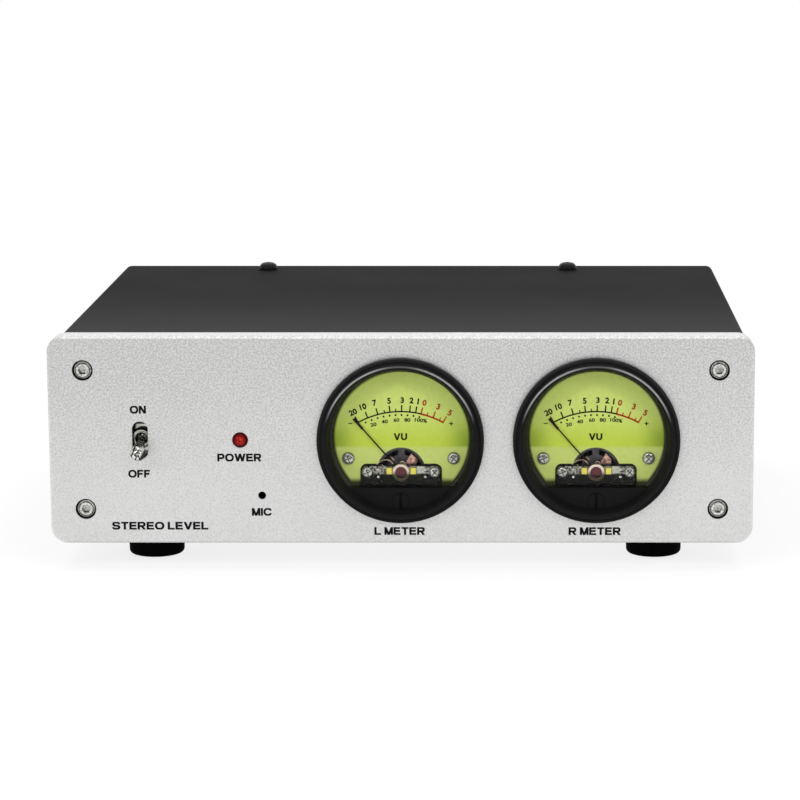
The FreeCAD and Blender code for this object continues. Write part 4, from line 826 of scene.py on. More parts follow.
class Bench:
    """Blender's modelling operators, used on one piece at a time."""

    @staticmethod
    def clear() -> None:
        """Leave edit mode and deselect everything."""
        if bpy.context.object is not None and bpy.context.object.mode != "OBJECT":
            bpy.ops.object.mode_set(mode="OBJECT")
        bpy.ops.object.select_all(action="DESELECT")

    @classmethod
    def only(cls, piece: Piece) -> None:
        """Select one piece and nothing else."""
        cls.clear()
        piece.select_set(True)
        bpy.context.view_layer.objects.active = piece

    @classmethod
    def edit(cls, piece: Piece, kind: str = "FACE") -> None:
        """Enter edit mode on a piece with all of it selected."""
        cls.only(piece)
        bpy.ops.object.mode_set(mode="EDIT")
        bpy.ops.mesh.select_mode(type=kind)
        bpy.ops.mesh.select_all(action="SELECT")

    @staticmethod
    def pick(piece: Piece, test: Callable[[Vector, Vector], bool]) -> None:
        """Select, in edit mode, only the faces that pass a test.

        Args:
            piece: The piece that is being edited.
            test: Given a face's centre and normal, says whether it is picked.
        """
        bpy.ops.mesh.select_all(action="DESELECT")
        bpy.ops.object.mode_set(mode="OBJECT")
        for face in piece.data.polygons:
            face.select = test(face.center, face.normal)
        bpy.ops.object.mode_set(mode="EDIT")

    @classmethod
    def settle(cls, piece: Piece) -> None:
        """Put a piece's place into its mesh, so that its object sits at the origin."""
        cls.only(piece)
        bpy.ops.object.transform_apply(location=True, rotation=True, scale=True)

    @classmethod
    def scale(cls, piece: Piece, factors: Triple) -> None:
        """Scale a piece and settle it."""
        cls.only(piece)
        bpy.ops.transform.resize(value=factors)
        cls.settle(piece)

    @classmethod
    def fresh(cls) -> Piece:
        """Settle the piece that was just added, and give it."""
        piece = bpy.context.object
        cls.settle(piece)
        return piece

    @classmethod
    def apply(cls, piece: Piece, kind: str, **settings: object) -> None:
        """Add a modifier with its settings and apply it."""
        cls.only(piece)
        modifier = piece.modifiers.new(kind, kind)
        for name, setting in settings.items():
            setattr(modifier, name, setting)
        bpy.ops.object.modifier_apply(modifier=modifier.name)

    @classmethod
    def join(cls, pieces: Sequence[Piece]) -> Piece:
        """Join several pieces into the first of them."""
        cls.only(pieces[0])
        for piece in pieces[1:]:
            piece.select_set(True)
        if len(pieces) > 1:
            bpy.ops.object.join()
        return pieces[0]

    @classmethod
    def disc(cls, centre: Vector, radius: float, corners: int = 48) -> Piece:
        """Start a piece as a flat disc that faces the front.

        Args:
            centre: Its centre in the frame, in metres.
            radius: Its radius in millimetres.
            corners: How many corners its rim has.

        Returns:
            The disc, settled.
        """
        cls.clear()
        bpy.ops.mesh.primitive_circle_add(vertices=corners, radius=radius * MM, fill_type="NGON",
                                          location=centre, rotation=(math.pi / 2, 0.0, 0.0))
        return cls.fresh()

    @classmethod
    def block(cls, centre: Vector, size: Triple) -> Piece:
        """Start a piece as a block of a size in millimetres round a centre."""
        cls.clear()
        bpy.ops.mesh.primitive_cube_add(size=1.0, location=centre, scale=tuple(s * MM for s in size))
        return cls.fresh()

    @staticmethod
    def draw_out(forward: float) -> None:
        """Extrude what is selected to the front, or backwards where it is negative, in millimetres."""
        bpy.ops.mesh.extrude_region_move(TRANSFORM_OT_translate={"value": (0.0, -forward * MM, 0.0)})

    @classmethod
    def seal(cls) -> None:
        """Turn all faces of the piece that is edited outwards, and leave edit mode."""
        bpy.ops.mesh.select_all(action="SELECT")
        bpy.ops.mesh.normals_make_consistent(inside=False)
        cls.clear()

    @classmethod
    def soften(cls, piece: Piece, width: float = 0.12) -> None:
        """Round a piece's sharp edges by a width in millimetres."""
        cls.apply(piece, "BEVEL", width=width * MM, segments=2, limit_method="ANGLE")

    @classmethod
    def dome(cls, centre: Vector, radius: float, steps: Iterable[Span], corners: int = 48) -> Piece:
        """Draw a disc out into a round closed piece, ring by ring.

        Args:
            centre: The disc's centre in metres.
            radius: The disc's radius in millimetres.
            steps: For each ring, how far it comes forward and the radius it shrinks to, in millimetres.
            corners: How many corners its rim has.

        Returns:
            The piece.
        """
        piece = cls.disc(centre, radius, corners)
        cls.edit(piece)
        before = radius
        for forward, after in steps:
            cls.draw_out(forward)
            bpy.ops.transform.resize(value=(after / before, 1.0, after / before), center_override=centre)
            before = after
        cls.seal()
        return piece

    @classmethod
    def path(cls, kind: str, points: Sequence[Vector]) -> tuple[Piece, bpy.types.Spline]:
        """Start a curve with one open spline.

        Args:
            kind: The spline's kind.
            points: Its points, flat ones for a curve in the ground plane.

        Returns:
            The curve and its spline.
        """
        cls.clear()
        bpy.ops.curve.primitive_nurbs_path_add()
        curve = bpy.context.object
        curve.data.splines.clear()
        spline = curve.data.splines.new(kind)
        spline.points.add(len(points) - 1)
        for point, place in zip(spline.points, points):
            point.co = (*place.to_3d(), 1.0)
        return curve, spline

    @classmethod
    def wire(cls, points: Sequence[Vector], radius: float) -> Piece:
        """Bend a thin wire through points.

        Args:
            points: The wire's points in the frame, in metres.
            radius: Its radius in millimetres.

        Returns:
            The wire as a closed mesh.
        """
        curve, spline = cls.path("NURBS", points)
        spline.order_u = min(4, len(points))
        spline.use_endpoint_u = True
        curve.data.bevel_depth = radius * MM
        curve.data.bevel_resolution = 3
        curve.data.use_fill_caps = True
        bpy.ops.object.convert(target="MESH")
        return bpy.context.object

    @classmethod
    def lettering(cls, words: str, weight: float = 0.0) -> Piece:
        """Set words as a flat mesh that lies in the ground plane.

        Args:
            words: What is written.
            weight: How much the strokes are thickened, as a share of the type's size.

        Returns:
            The flat mesh.
        """
        cls.clear()
        bpy.ops.object.text_add()
        text = bpy.context.object
        text.data.body = words
        text.data.offset = weight
        text.data.resolution_u = 4
        bpy.ops.object.convert(target="MESH")
        return bpy.context.object

    @classmethod
    def set_print(cls, piece: Piece, centre: Vector, height: float,
                  width: Optional[float] = None, side: Side = Side.FRONT, turn: float = 0.0) -> None:
        """Lay lettering from the ground plane on a panel.

        Args:
            piece: The lettering, in any size.
            centre: Where the middle of its box goes, in metres.
            height: Its height in millimetres.
            width: Its width in millimetres, or None to keep its shape.
            side: The panel that it lies on.
            turn: How far it turns to the right on the panel, in radians.
        """
        low, high = (Vector(pick(v.co[axis] for v in piece.data.vertices) for axis in range(3))
                     for pick in (min, max))
        tall = height * MM / (high.y - low.y)
        wide = tall if width is None else width * MM / (high.x - low.x)
        cls.edit(piece)
        bpy.ops.transform.translate(value=-(low + high) / 2)
        bpy.ops.transform.resize(value=(wide, tall, 1.0), center_override=(0.0, 0.0, 0.0))
        cls.clear()
        piece.rotation_euler = (math.pi / 2, turn, side.value)
        piece.location = centre
        cls.settle(piece)

    @classmethod
    def thicken(cls, piece: Piece) -> None:
        """Give a flat print the thickness of its ink."""
        cls.apply(piece, "SOLIDIFY", thickness=INK_FILM * MM, offset=1.0)

    @classmethod
    def sweep(cls, centre: Vector, inner: float, outer: float, start: float, end: float,
              steps: int = 48) -> Piece:
        """Sweep a short upright line round a centre into a flat arc band that faces the front.

        Args:
            centre: The arc's centre in metres.
            inner: The band's inner radius in millimetres.
            outer: The band's outer radius in millimetres.
            start: The angle from upright where it starts, in radians, to the right.
            end: The angle where it ends.
            steps: How many faces the band has.

        Returns:
            The flat band.
        """
        piece = cls.strip(centre, inner, outer, 1.0, 0.0)
        cls.edit(piece, "VERT")
        bpy.ops.transform.resize(value=(0.0, 1.0, 1.0), center_override=centre)
        bpy.ops.mesh.remove_doubles(threshold=1e-7)
        bpy.ops.mesh.delete(type="ONLY_FACE")
        bpy.ops.mesh.select_all(action="SELECT")
        bpy.ops.transform.rotate(value=-start, orient_axis="Y", center_override=centre)
        bpy.ops.mesh.spin(steps=steps, angle=start - end, center=centre, axis=(0.0, 1.0, 0.0))
        bpy.ops.mesh.select_all(action="SELECT")
        bpy.ops.mesh.remove_doubles(threshold=1e-7)
        cls.clear()
        cls.face_front(piece)
        return piece

    @classmethod
    def face_front(cls, piece: Piece) -> None:
        """Turn a flat piece's faces to the front."""
        if sum(face.normal.y for face in piece.data.polygons) > 0:
            cls.edit(piece)
            bpy.ops.mesh.flip_normals()
            cls.clear()

    @classmethod
    def strip(cls, centre: Vector, inner: float, outer: float, width: float, angle: float) -> Piece:
        """Lay a flat upright strip and turn it round a centre.

        Args:
            centre: The centre that it points away from, in metres.
            inner: Where it starts, in millimetres from the centre.
            outer: Where it ends.
            width: Its width in millimetres.
            angle: Its angle from upright, in radians, to the right.

        Returns:
            The flat strip.
        """
        cls.clear()
        middle = beside(centre, 0.0, 0.0, (inner + outer) / 2)
        bpy.ops.mesh.primitive_plane_add(size=MM, location=middle, rotation=(math.pi / 2, 0.0, 0.0))
        piece = cls.fresh()
        cls.edit(piece)
        bpy.ops.transform.resize(value=(width, 1.0, outer - inner), center_override=middle)
        bpy.ops.transform.rotate(value=-angle, orient_axis="Y", center_override=centre)
        cls.clear()
        return piece

    @classmethod
    def copy(cls, piece: Piece, shift: Vector, scale: Triple = (1.0, 1.0, 1.0)) -> Piece:
        """Copy a piece with its own mesh, scaled and then moved by a shift in metres."""
        twin = piece.copy()
        twin.data = piece.data.copy()
        bpy.context.scene.collection.objects.link(twin)
        twin.location = shift
        twin.scale = scale
        cls.settle(twin)
        return twin

    @classmethod
    def discard(cls, pieces: Sequence[Piece]) -> None:
        """Delete patterns and cutters that aren't pieces themselves."""
        cls.clear()
        for piece in pieces:
            piece.select_set(True)
        bpy.ops.object.delete()

    @classmethod
    def ribbon(cls, line: Sequence[Vector], width: float) -> Piece:
        """Draw a line of an even width in the ground plane, one unit thick.

        Args:
            line: Its points. It is closed where the last point is the first one.
            width: Its width, in the units of the points.

        Returns:
            The line as a closed mesh.
        """
        closed = line[0] == line[-1]
        curve, spline = cls.path("POLY", line[:-1] if closed else line)
        spline.use_cyclic_u = closed
        curve.data.dimensions = "2D"
        curve.data.extrude = 0.5
        bpy.ops.object.convert(target="MESH")
        piece = bpy.context.object
        cls.edit(piece)
        bpy.ops.mesh.remove_doubles(threshold=1e-6)
        cls.seal()
        cls.apply(piece, "SOLIDIFY", thickness=width, offset=0.0, use_even_offset=True)
        return piece

    @classmethod
    def smooth(cls, piece: Piece, angle: float = 32.0) -> None:
        """Shade a piece smoothly, but for the edges that are sharper than an angle in degrees."""
        cls.only(piece)
        bpy.ops.object.shade_smooth_by_angle(angle=math.radians(angle))

    @classmethod
    def join_smooth(cls, pieces: Sequence[Piece], angle: float) -> Piece:
        """Join several pieces into the first of them and shade it as smooth() does."""
        piece = cls.join(pieces)
        cls.smooth(piece, angle)
        return piece


@dataclass
class Capital:
    """A capital letter, its width and the middle lines of its strokes in shares of its height.

    Strokes are parted by bars and their points by spaces. A point is how far across and up it lies
    and, where the stroke bends there, how far before that corner the bend begins.
    """

    width: float
    strokes: str

    def lines(self) -> list[list[Vector]]:
        """Give the strokes' middle lines with their corners bent."""
        return [self._bend([tuple(map(float, point.split(","))) for point in stroke.split()])
                for stroke in self.strokes.split("|")]

    @staticmethod
    def _bend(stroke: Sequence[Sequence[float]], steps: int = 7) -> list[Vector]:
        """Round the corners of one stroke."""
        line = []
        for index, (across, up, *reach) in enumerate(stroke):
            corner = Vector((across, up))
            if not reach:
                line.append(corner)
                continue
            start, end = (corner + (Vector(stroke[near][:2]) - corner).normalized() * reach[0]
                          for near in (index - 1, index + 1))
            for step in range(steps + 1):
                turn = step / steps * math.pi / 2
                line.append(corner + (start - corner) * (1 - math.sin(turn))
                            + (end - corner) * (1 - math.cos(turn)))
        return line


class Alphabet:
    """Plain upright capitals with even strokes, each modelled once and copied into the words.

    WEIGHT is how wide a stroke is, GAP the room between letters and SPACE a blank's width, in shares of
    a letter's height. Each further stroke is thinner by the share STEP_DOWN, so that the tops of two
    strokes that cross don't lie in one plane.
    """

    WEIGHT = 0.255
    STEP_DOWN = 0.06
    GAP = 0.11
    SPACE = 0.3
    CAPITALS = {character: Capital(width, strokes) for character, width, strokes in (
        ("C", 0.92, ".81,.66 .81,.9,.24 .1,.9,.35 .1,.1,.35 .81,.1,.24 .81,.34"),
        ("D", 0.87, ".1,.5 .1,.9 .77,.9,.38 .77,.1,.38 .1,.1 .1,.5"),
        ("E", 0.78, ".76,.9 .1,.9 .1,.1 .78,.1 | .1,.51 .72,.51"),
        ("F", 0.72, ".72,.9 .1,.9 .1,0 | .1,.49 .64,.49"),
        ("I", 0.2, ".1,0 .1,1"),
        ("L", 0.73, ".1,1 .1,.1 .73,.1"),
        ("M", 0.94, ".1,0 .1,1 | .84,0 .84,1 | .07,1.1 .505,-.1 | .87,1.1 .435,-.1"),
        ("N", 0.82, ".1,0 .1,1 | .72,0 .72,1 | .056,1.1 .764,-.1"),
        ("O", 0.98, ".49,.9 .88,.9,.36 .88,.1,.36 .1,.1,.36 .1,.9,.36 .49,.9"),
        ("P", 0.81, ".1,0 .1,.9 .71,.9,.23 .71,.42,.23 .1,.42"),
        ("R", 0.87, ".1,0 .1,.9 .73,.9,.21 .73,.46,.21 .1,.46 | .46,.44 .79,-.08"),
        ("S", 0.84, ".73,.68 .73,.9,.21 .11,.9,.2 .11,.51,.19 .73,.49,.19 .73,.1,.2 .1,.1,.21 .1,.32"),
        ("T", 0.8, "0,.9 .8,.9 | .4,.9 .4,0"),
        ("U", 0.82, ".1,1 .1,.1,.31 .72,.1,.31 .72,1"),
        ("V", 0.9, ".07,1.1 .485,-.1 | .83,1.1 .415,-.1"),
        ("W", 1.27, ".08,1.1 .386,-.1 | .333,-.1 .663,1.1 | .607,1.1 .937,-.1 | 1.19,1.1 .884,-.1"),
    )}

    def __init__(self) -> None:
        """Start with no letter modelled."""
        self.patterns: dict[str, Piece] = {}

    def word(self, words: str) -> Piece:
        """Set words from copies of the letters, one metre high in the ground plane.

        Args:
            words: What is written, in capitals and spaces.

        Returns:
            The words as one mesh, its back at height 0.
        """
        letters = []
        pen = 0.0
        for character in words:
            if character == " ":
                pen += self.SPACE
                continue
            shift = Vector((pen, 0.0, INK_FILM * MM / 2))
            letters.append(Bench.copy(self._pattern(character), shift, (1.0, 1.0, INK_FILM * MM)))
            pen += self.CAPITALS[character].width + self.GAP
        return Bench.join(letters)

    def _pattern(self, character: str) -> Piece:
        """Give a letter's pattern, modelled when it is first asked for."""
        if character not in self.patterns:
            strokes = []
            for index, line in enumerate(self.CAPITALS[character].lines()):
                stroke = Bench.ribbon(line, self.WEIGHT)
                Bench.scale(stroke, (1.0, 1.0, 1.0 - self.STEP_DOWN * index))
                strokes.append(stroke)
            pattern = Bench.join(strokes)
            Bench.edit(pattern)
            for height, side in ((0.0, -1.0), (1.0, 1.0)):
                bpy.ops.mesh.select_all(action="SELECT")
                bpy.ops.mesh.bisect(plane_co=(0.0, height, 0.0), plane_no=(0.0, side, 0.0),
                                    clear_outer=True, use_fill=True)
            Bench.clear()
            self.patterns[character] = pattern
        return self.patterns[character]

    def put_away(self) -> None:
        """Delete the patterns."""
        Bench.discard(list(self.patterns.values()))
        self.patterns.clear()


def hand_over(piece: Piece, name: str, finish: Finish,
              body: str = "enclosure") -> None:
    """Name and finish a new piece, and let it ride on its body.

    Args:
        piece: The finished mesh.
        name: The piece's name.
        finish: Its finish.
        body: The body that carries it.
    """
    piece.name = name
    piece.data.name = name
    piece.data.materials.clear()
    piece.data.materials.append(finish.material())
    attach(piece, body)
    LOG.info("%s: %d faces, on %s", name, len(piece.data.polygons), body)


def dress(finish: Finish, *names: str) -> None:
    """Give the frame's own pieces a finish.

    Args:
        finish: The finish.
        names: The pieces' names.
    """
    for name in names:
        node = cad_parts[name]
        if not node.material_slots:
            node.data.materials.append(None)
        for material_slot in node.material_slots:
            material_slot.material = finish.material()
    LOG.info("%s: %s", finish.name, ", ".join(names))


# --- Sub-assemblies --------------------------------------------------------------------------


@dataclass
class Enclosure:
    """The panel, the cover, the tray and what fastens them."""

    def dress(self) -> None:
        """Finish the enclosure's pieces."""
        dress(PANEL_SILVER, "front_panel")
        dress(COVER_BLACK, "top_cover")
        dress(REAR_BLACK, "rear_panel")
        dress(CHASSIS_STEEL, "chassis_tray")
        dress(FOOT_RUBBER, "foot_front_left", "foot_front_right", "foot_rear_left", "foot_rear_right")
        dress(SCREW_STEEL, "panel_screws")
        dress(FOOT_STEEL, "panel_nuts", "foot_screws")
        dress(SCREW_BLACK, "cover_screws", "rear_panel_screws")


@dataclass(frozen=True)
class Label:
    """Words printed on a panel: their middle, height and width in millimetres."""

    words: str
    x: float
    height: float
    width: float
    cap: float = 2.4


def print_labels(labels: Sequence[Label], depth: float, side: Side) -> Piece:
    """Set words on a panel and join them into one print.

    Args:
        labels: The words and their places.
        depth: How far the print's back lies behind the front panel's face, in millimetres.
        side: The panel that they lie on.

    Returns:
        The print.
    """
    alphabet = Alphabet()
    pieces = []
    for label in labels:
        piece = alphabet.word(label.words)
        Bench.set_print(piece, panel_point(label.x, depth, label.height), label.cap, label.width, side)
        pieces.append(piece)
    alphabet.put_away()
    return Bench.join(pieces)


@dataclass
class PanelPrint:
    """The black words on the front panel."""

    labels: tuple[Label, ...] = (
        Label("ON", -79.35, 41.2, 4.9),
        Label("OFF", -79.4, 21.5, 6.6),
        Label("POWER", -49.0, 26.5, 13.4),
        Label("MIC", -42.5, 9.7, 6.0),
        Label("STEREO LEVEL", -73.4, 5.4, 29.2),
        Label("L METER", -0.7, 3.75, 15.4),
        Label("R METER", 58.5, 3.7, 15.9),
    )

    def build(self) -> None:
        """Set the words on the panel's face."""
        hand_over(print_labels(self.labels, -PRINT_GAP, Side.FRONT), "panel_lettering", PANEL_INK)


@dataclass
class PowerControls:
    """The toggle switch, the lamp and the microphone."""

    lamp_x: float = -48.7
    lamp_height: float = 31.9

    def dress(self) -> None:
        """Finish the switch, the lamp and the microphone."""
        middle = panel_point(self.lamp_x, 0.0, self.lamp_height)
        # glow: the colour of the painted highlight in the lens's middle.
        lens = LampLens("red lamp lens", (0.19, 0.002, 0.002), middle, glow=(0.62, 0.055, 0.045))
        dress(LEVER_CHROME, "power_lever")
        dress(BUSHING_CHROME, "power_switch_bushing", "power_switch_nut")
        dress(SWITCH_BLACK, "power_switch_body")
        dress(lens, "power_led")
        dress(MIC_FELT, "mic_capsule")


@dataclass
class Electronics:
    """The board and what stands on it, inside the box."""

    def dress(self) -> None:
        """Finish the board and its parts."""
        dress(BOARD_GREEN, "circuit_board")
        dress(BOARD_STEEL, "board_standoffs", "board_screws")
        dress(CHIP_BLACK, "board_chips")
        dress(SLEEVE_BLUE, "board_capacitors")


@dataclass
class RearFittings:
    """The sockets, the inlet and the level control at the back, with their words."""

    socket_places: Span = (72.0, 52.0)
    socket_height: float = 32.0
    sleeve: float = 3.3
    core: float = 2.65
    insulator_front: float = 2.3
    insulator_length: float = 5.6
    labels: tuple[Label, ...] = (
        Label("L", 72.0, 42.5, 1.6),
        Label("R", 52.0, 42.5, 1.9),
        Label("INPUT", 62.0, 20.5, 11.5),
        Label("DC IN", 18.0, 9.5, 11.0),
        Label("LEVEL", -66.0, 17.5, 11.5),
    )

    def build(self) -> None:
        """Model the sockets' insulators and set the words."""
        for name, x, finish in (("left", self.socket_places[0], INSULATOR_WHITE),
                                ("right", self.socket_places[1], INSULATOR_RED)):
            ring = self._insulator(panel_point(x, REAR_FACE + self.insulator_front, self.socket_height))
            hand_over(ring, f"socket_insulator_{name}", finish)
        hand_over(print_labels(self.labels, REAR_FACE + PRINT_GAP, Side.REAR), "rear_lettering", REAR_INK)

    def _insulator(self, centre: Vector) -> Piece:
        """Model the ring between a socket's sleeve and its core.

        Args:
            centre: The middle of its front, in metres.

        Returns:
            The ring.
        """
        ring = Bench.disc(centre, self.sleeve)
        Bench.edit(ring)
        bpy.ops.mesh.inset(thickness=(self.sleeve - self.core) * MM)
        bpy.ops.mesh.delete(type="FACE")
        bpy.ops.mesh.select_all(action="SELECT")
        Bench.draw_out(-self.insulator_length)
        Bench.seal()
        Bench.soften(ring)
        Bench.smooth(ring)
        return ring

    def dress(self) -> None:
        """Finish the sockets, the inlet and the level control."""
        dress(SOCKET_NICKEL, "input_socket_left", "input_socket_right")
        dress(JACK_BLACK, "dc_jack")
        dress(MIC_METAL, "level_pot", "level_shaft")
        dress(KNOB_BLACK, "level_knob")


@dataclass
class DialNumber:
    """A number printed on the dial: its middle, and whether it is in the red."""

    words: str
    x: float
    height: float
    red: bool = False


@dataclass(frozen=True)
class NumberStyle:
    """How a row of numbers is set: height, added weight, share of the scale's lean, and stretch."""

    height: float
    weight: float
    lean: float
    stretch: float = 1.0


@dataclass
class DialPrint:
    """The scale of a dial: its arc, ticks, dots, numbers and words, in millimetres from its middle.

    The arc starts, turns red and ends at the places ends. Tall and short ticks are given by how far
    they reach past the arc's middle line and how wide they are. A sign is a line at a place, lying (0)
    or upright (1).
    """

    arc_radius: float = 26.6
    arc_foot: float = -18.5
    arc_line: float = 0.44
    red_growth: float = 0.1
    ends: Triple = (-13.4, 6.0, 12.9)
    tall: Span = (2.0, 0.42)
    short: Span = (0.95, 0.34)
    tall_black: tuple[float, ...] = (-12.9, -10.0, -6.96, -3.25, 0.28, 2.72, 4.52)
    short_black: tuple[float, ...] = (-4.88, -1.48)
    tall_red: tuple[float, ...] = (6.15, 9.78, 12.85)
    short_red: tuple[float, ...] = (7.95, 11.7)
    dots: int = 11
    dot_span: Span = (-12.95, 5.9)
    dot_radius: float = 25.55
    dot_size: float = 0.31
    numbers: tuple[DialNumber, ...] = (
        DialNumber("20", -14.45, 7.9), DialNumber("10", -11.4, 9.6), DialNumber("7", -7.9, 10.8),
        DialNumber("5", -3.5, 11.4), DialNumber("3", 0.5, 11.6), DialNumber("2", 3.3, 11.5),
        DialNumber("1", 5.3, 11.2), DialNumber("0", 7.2, 10.8, True), DialNumber("3", 11.4, 9.6, True),
        DialNumber("5", 14.9, 7.7, True),
    )
    shares: tuple[DialNumber, ...] = (
        DialNumber("20", -8.3, 4.1), DialNumber("40", -4.9, 5.0), DialNumber("60", -1.3, 5.5),
        DialNumber("80", 2.0, 5.5), DialNumber("100%", 6.1, 5.4),
    )
    number_style: NumberStyle = NumberStyle(1.85, 0.042, 0.8)
    share_style: NumberStyle = NumberStyle(1.15, 0.035, 0.45, 1.25)
    signs: tuple[Triple, ...] = ((-15.3, 4.45, 0.0), (15.25, 4.4, 0.0), (15.25, 4.4, 1.0))
    sign_reach: float = 0.62
    sign_width: float = 0.3
    unit: Label = Label("VU", -0.15, 0.35, 4.1, 2.1)
    ink: dict[bool, list] = field(default_factory=lambda: {False: [], True: []})

    def build(self, origin: Vector) -> tuple[Piece, Piece]:
        """Print the dial.

        Args:
            origin: The dial's middle on its face, in metres.

        Returns:
            The black print and the red print.
        """
        centre = beside(origin, 0.0, 0.0, self.arc_foot)
        self._print_scale(centre)
        self._print_dots(centre)
        for numbers, style in ((self.numbers, self.number_style), (self.shares, self.share_style)):
            for number in numbers:
                self._print_number(origin, number, style)
        for x, height, upright in self.signs:
            line = Bench.strip(beside(origin, x, 0.0, height), -self.sign_reach, self.sign_reach,
                               self.sign_width, (1.0 - upright) * math.pi / 2)
            self._keep(line, False)
        alphabet = Alphabet()
        word = alphabet.word(self.unit.words)
        alphabet.put_away()
        Bench.set_print(word, beside(origin, self.unit.x, 0.0, self.unit.height), self.unit.cap,
                        self.unit.width)
        self.ink[False].append(word)
        black, red = (Bench.join(self.ink[key]) for key in (False, True))
        return black, red

    def _angle(self, x: float) -> float:
        """Give the angle from upright of a place on the arc."""
        return math.asin(x / self.arc_radius)

    def _print_scale(self, centre: Vector) -> None:
        """Print the arc and its ticks."""
        inner, outer = self.arc_radius - self.arc_line / 2, self.arc_radius + self.arc_line / 2
        start, change, end = (self._angle(x) for x in self.ends)
        self._keep(Bench.sweep(centre, inner, outer, start, change), False)
        self._keep(Bench.sweep(centre, inner - self.red_growth, outer, change, end), True)
        for places, (length, width), red in ((self.tall_black, self.tall, False),
                                             (self.short_black, self.short, False),
                                             (self.tall_red, self.tall, True),
                                             (self.short_red, self.short, True)):
            for x in places:
                strip = Bench.strip(centre, inner, self.arc_radius + length, width, self._angle(x))
                self._keep(strip, red)

    def _print_dots(self, centre: Vector) -> None:
        """Print the row of dots under the arc."""
        first, last = self.dot_span
        for index in range(self.dots):
            angle = self._angle(first + (last - first) * index / (self.dots - 1))
            place = centre + Vector((math.sin(angle), 0.0, math.cos(angle))) * self.dot_radius * MM
            self._keep(Bench.disc(place, self.dot_size, corners=14), False)

    def _print_number(self, origin: Vector, number: DialNumber, style: NumberStyle) -> None:
        """Print a number at its place in its row's style."""
        piece = Bench.lettering(number.words, style.weight)
        Bench.scale(piece, (style.stretch, 1.0, 1.0))
        lean = style.lean * math.atan2(number.x, number.height - self.arc_foot)
        Bench.set_print(piece, beside(origin, number.x, 0.0, number.height), style.height, turn=lean)
        self._keep(piece, number.red)

    def _keep(self, piece: Piece, red: bool) -> None:
        """Give a flat mark its film and keep it with its ink."""
        Bench.thicken(piece)
        self.ink[red].append(piece)


@dataclass(frozen=True)
class ScrewPair:
    """Two small domed screws, in millimetres.

    They stand by their spread to both sides of the meter's middle and by their height above it. Their
    heads sit at the seat's depth, with a radius and a rise of their own.
    """

    spread: float
    height: float
    seat: float
    radius: float
    rise: float


